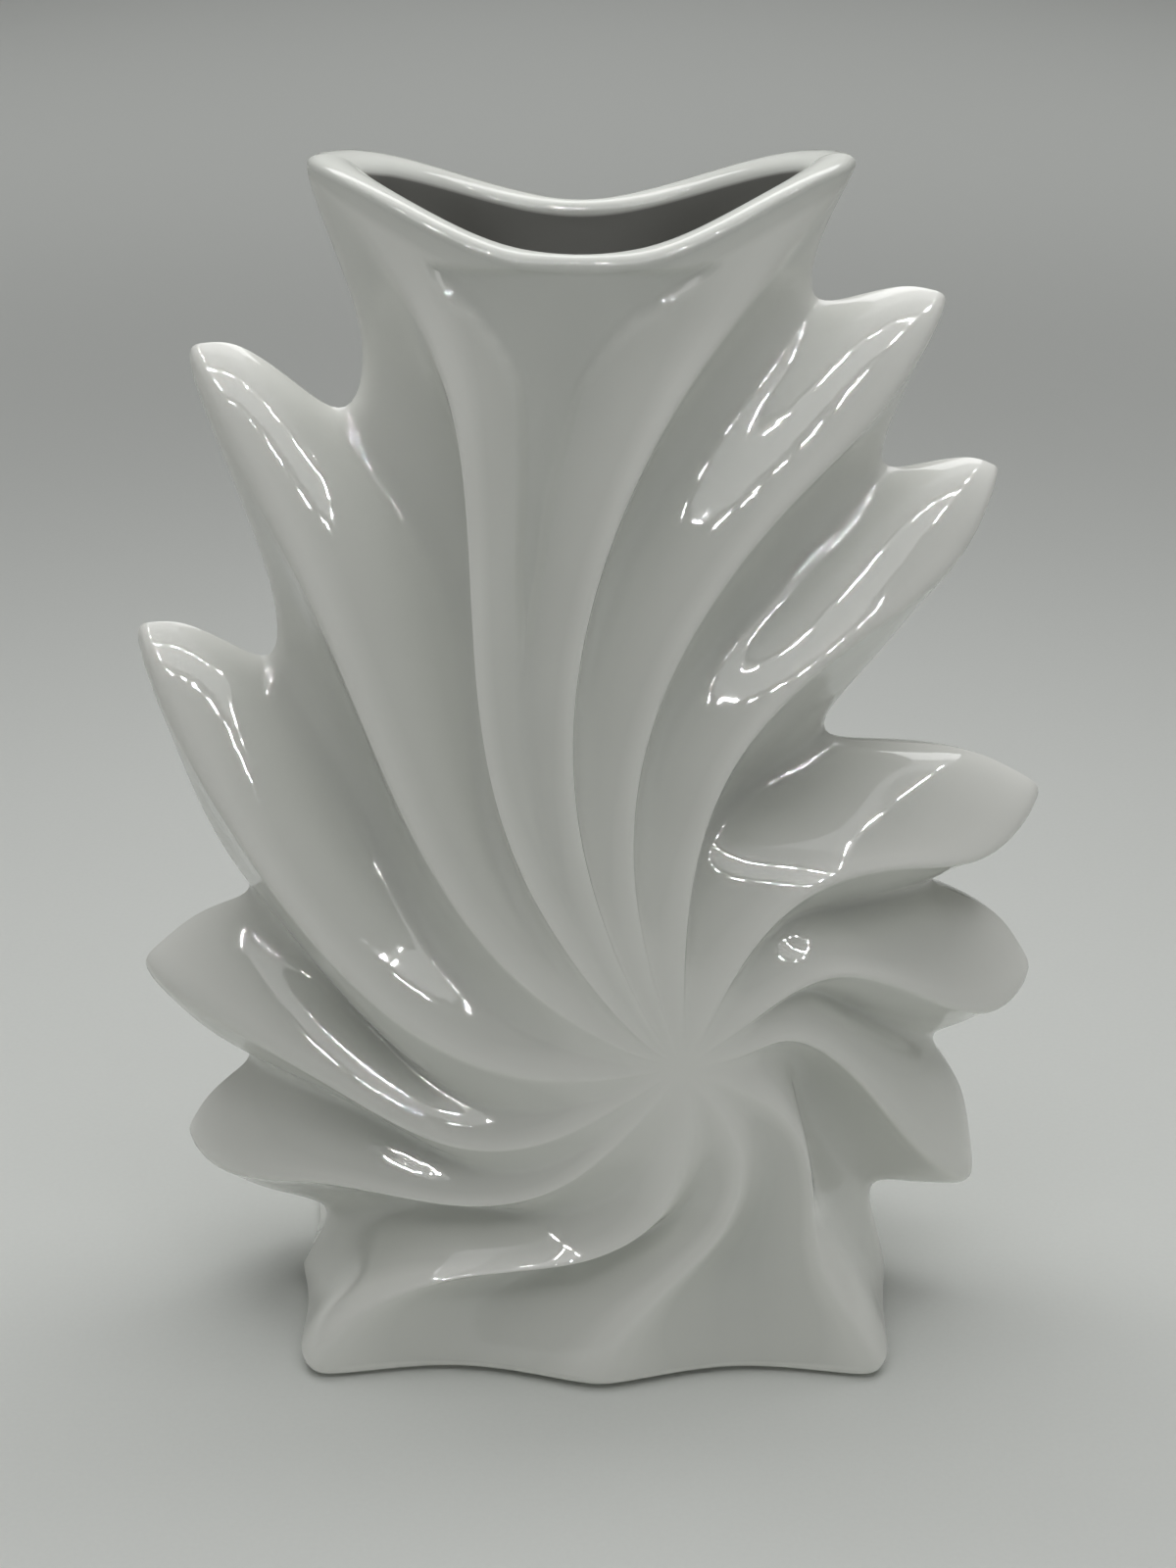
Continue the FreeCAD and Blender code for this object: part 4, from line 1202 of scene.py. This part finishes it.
class FANVASE_OT_foot_ring(bpy.types.Operator):
    """Make the dry ring that the vase stands on"""

    bl_idname = "fanvase.foot_ring"
    bl_label = "Foot ring"

    def execute(self, context):
        low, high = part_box("foot_ring")
        clay = made_once(clay_material, "dry_clay", context.scene.fan_vase_finish)
        size = high - low
        sizes = context.scene.fan_vase_relief
        values = {"Length": size.x, "Width": size.y, "Height": size.z, "Band": sizes.ring_band,
                  "Corner": sizes.ring_corner, "Edge": sizes.ring_edge, "Clay": clay}
        mesh = grown_mesh(bpy.data.meshes.new("ring_start"), ring_group(), values, "foot_ring_band")
        for vertex in mesh.vertices:
            vertex.co += (low + high) / 2
        face_outwards(mesh)
        soften(mesh, CLAY_SHARP_ANGLE)
        piece = new_object("foot_ring_band", mesh)
        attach(piece, "root")
        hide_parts("foot_ring")
        return {"FINISHED"}


def floor_mesh(reach):
    """A round paper floor that curves up into a low wall all around, far behind the camera."""
    bend = reach * FLOOR_BEND_SHARE
    line = [(reach * share, 0.0) for share in FLOOR_RING_SHARES]
    for step in range(1, FLOOR_BEND_STEPS + 1):
        turn = math.pi / 2 * step / FLOOR_BEND_STEPS
        line.append((reach + bend * math.sin(turn), bend * (1 - math.cos(turn))))
    line.append((reach + bend, bend * 2))
    turns = [2 * math.pi * step / FLOOR_SPOKES for step in range(FLOOR_SPOKES)]
    verts = [(far * math.cos(turn), far * math.sin(turn), rise) for far, rise in line for turn in turns]
    faces = [list(range(FLOOR_SPOKES))]
    for row in range(len(line) - 1):
        here = row * FLOOR_SPOKES
        there = here + FLOOR_SPOKES
        for step in range(FLOOR_SPOKES):
            after = (step + 1) % FLOOR_SPOKES
            faces.append((here + step, there + step, there + after, here + after))
    mesh = bpy.data.meshes.new("paper_floor")
    mesh.from_pydata(verts, [], faces)
    mesh.shade_smooth()
    return mesh


def add_panel(name, place, aim, size, power):
    """A soft rectangular light that points at a place and isn't seen itself."""
    light = bpy.data.lights.new(name, "AREA")
    light.shape = "RECTANGLE"
    light.size, light.size_y = size
    light.energy = power
    panel = bpy.data.objects.new(name, light)
    panel.visible_camera = False
    panel.location = place
    panel.rotation_euler = (Vector(aim) - Vector(place)).to_track_quat("-Z", "Y").to_euler()
    bpy.context.scene.collection.objects.link(panel)
    return panel


def add_ceiling(studio):
    """Soft panels over the vase, brightest at the back."""
    top = studio.ceiling_height
    for name, depth, power in CEILING_PANELS:
        add_panel(name, (0, depth, top), (0, depth, 0), CEILING_PANEL_SIZE, getattr(studio, power))
    add_panel("room_panel", (0, ROOM_PANEL_DEPTH, top), ROOM_PANEL_AIM, ROOM_PANEL_SIZE, studio.room_power)


def add_wash(studio):
    """A ring of panels that light the floor all around the vase and don't show in the glaze."""
    for step in range(WASH_PANELS):
        turn = 2 * math.pi * step / WASH_PANELS
        place = Vector((math.cos(turn), math.sin(turn), 0)) * studio.wash_reach
        place.z = studio.wash_height
        wash = add_panel("wash_panel", place, (place.x, place.y, 0), WASH_PANEL_SIZE, studio.wash_power)
        wash.visible_glossy = False


def add_lamps(studio):
    """Rows of small lamps under the ceiling: they show in the glaze and light nothing else."""
    level = studio.ceiling_height - LAMP_DROP
    gap = studio.lamp_spacing
    rows = [((step * gap, depth, level), (studio.lamp_length, studio.lamp_width))
            for depth in LAMP_ROW_DEPTHS for step in LAMP_ROW_STEPS]
    rows += [((side * SIDE_LAMP_REACH, SIDE_LAMP_START + step * gap, level),
              (studio.lamp_width, studio.lamp_length)) for side in (-1, 1) for step in range(SIDE_LAMPS)]
    for place, size in rows:
        lamp = add_panel("lamp", place, (place[0], place[1], 0), size, studio.lamp_power)
        lamp.visible_diffuse = False


def add_sides(studio):
    """The two side walls of the light box and a weak fill."""
    for side in (-1, 1):
        add_panel("side_panel", (side * SIDE_PANEL_REACH, 0, SIDE_PANEL_HEIGHT), SIDE_PANEL_AIM,
                  SIDE_PANEL_SIZE, studio.side_power)
    add_panel("fill", FILL_PLACE, FILL_AIM, FILL_SIZE, studio.fill_power)


def add_camera(studio):
    """The camera looks along +Y from above the table."""
    lens = bpy.data.cameras.new("camera")
    lens.lens = studio.lens
    lens.sensor_width = SENSOR_LENGTH
    camera = bpy.data.objects.new("camera", lens)
    away = Vector((0, -math.cos(studio.camera_elevation), math.sin(studio.camera_elevation)))
    camera.location = Vector((0, 0, studio.aim_height)) + away * studio.camera_distance
    camera.rotation_euler = (-away).to_track_quat("-Z", "Y").to_euler()
    bpy.context.scene.collection.objects.link(camera)
    bpy.context.scene.camera = camera


class FANVASE_OT_studio(bpy.types.Operator):
    """Set up the paper floor, the light box and the camera"""

    bl_idname = "fanvase.studio"
    bl_label = "Studio"

    def execute(self, context):
        studio = context.scene.fan_vase_studio
        paper = new_object("paper_floor", floor_mesh(studio.floor_reach))
        paper.data.materials.append(paper_material(studio))
        add_ceiling(studio)
        add_sides(studio)
        add_wash(studio)
        add_lamps(studio)
        add_camera(studio)
        context.scene.view_settings.view_transform = "Standard"
        return {"FINISHED"}


class FANVASE_PT_panel(bpy.types.Panel):
    """The pieces of the fan vase and their settings"""

    bl_label = "Fan Vase"
    bl_idname = "FANVASE_PT_panel"
    bl_space_type = "VIEW_3D"
    bl_region_type = "UI"
    bl_category = "Fan Vase"

    def draw(self, context):
        layout = self.layout
        for operator in OPERATORS:
            layout.operator(operator.bl_idname)
        for settings in (context.scene.fan_vase_relief, context.scene.fan_vase_finish,
                         context.scene.fan_vase_studio):
            box = layout.box()
            for name in settings.__annotations__:
                box.prop(settings, name)


SETTINGS = (("fan_vase_relief", ReliefSizes), ("fan_vase_finish", FinishSettings),
            ("fan_vase_studio", StudioSettings))
OPERATORS = (FANVASE_OT_halves, FANVASE_OT_floor_plate, FANVASE_OT_foot_ring, FANVASE_OT_studio)


def register():
    for name, group in SETTINGS:
        bpy.utils.register_class(group)
        setattr(bpy.types.Scene, name, bpy.props.PointerProperty(type=group))
    for operator in OPERATORS:
        bpy.utils.register_class(operator)
    bpy.utils.register_class(FANVASE_PT_panel)


def unregister():
    bpy.utils.unregister_class(FANVASE_PT_panel)
    for operator in reversed(OPERATORS):
        bpy.utils.unregister_class(operator)
    for name, group in reversed(SETTINGS):
        delattr(bpy.types.Scene, name)
        bpy.utils.unregister_class(group)


def main():
    register()
    bpy.ops.fanvase.halves()
    bpy.ops.fanvase.floor_plate()
    bpy.ops.fanvase.foot_ring()
    bpy.ops.fanvase.studio()


if __name__ == "__main__":
    main()
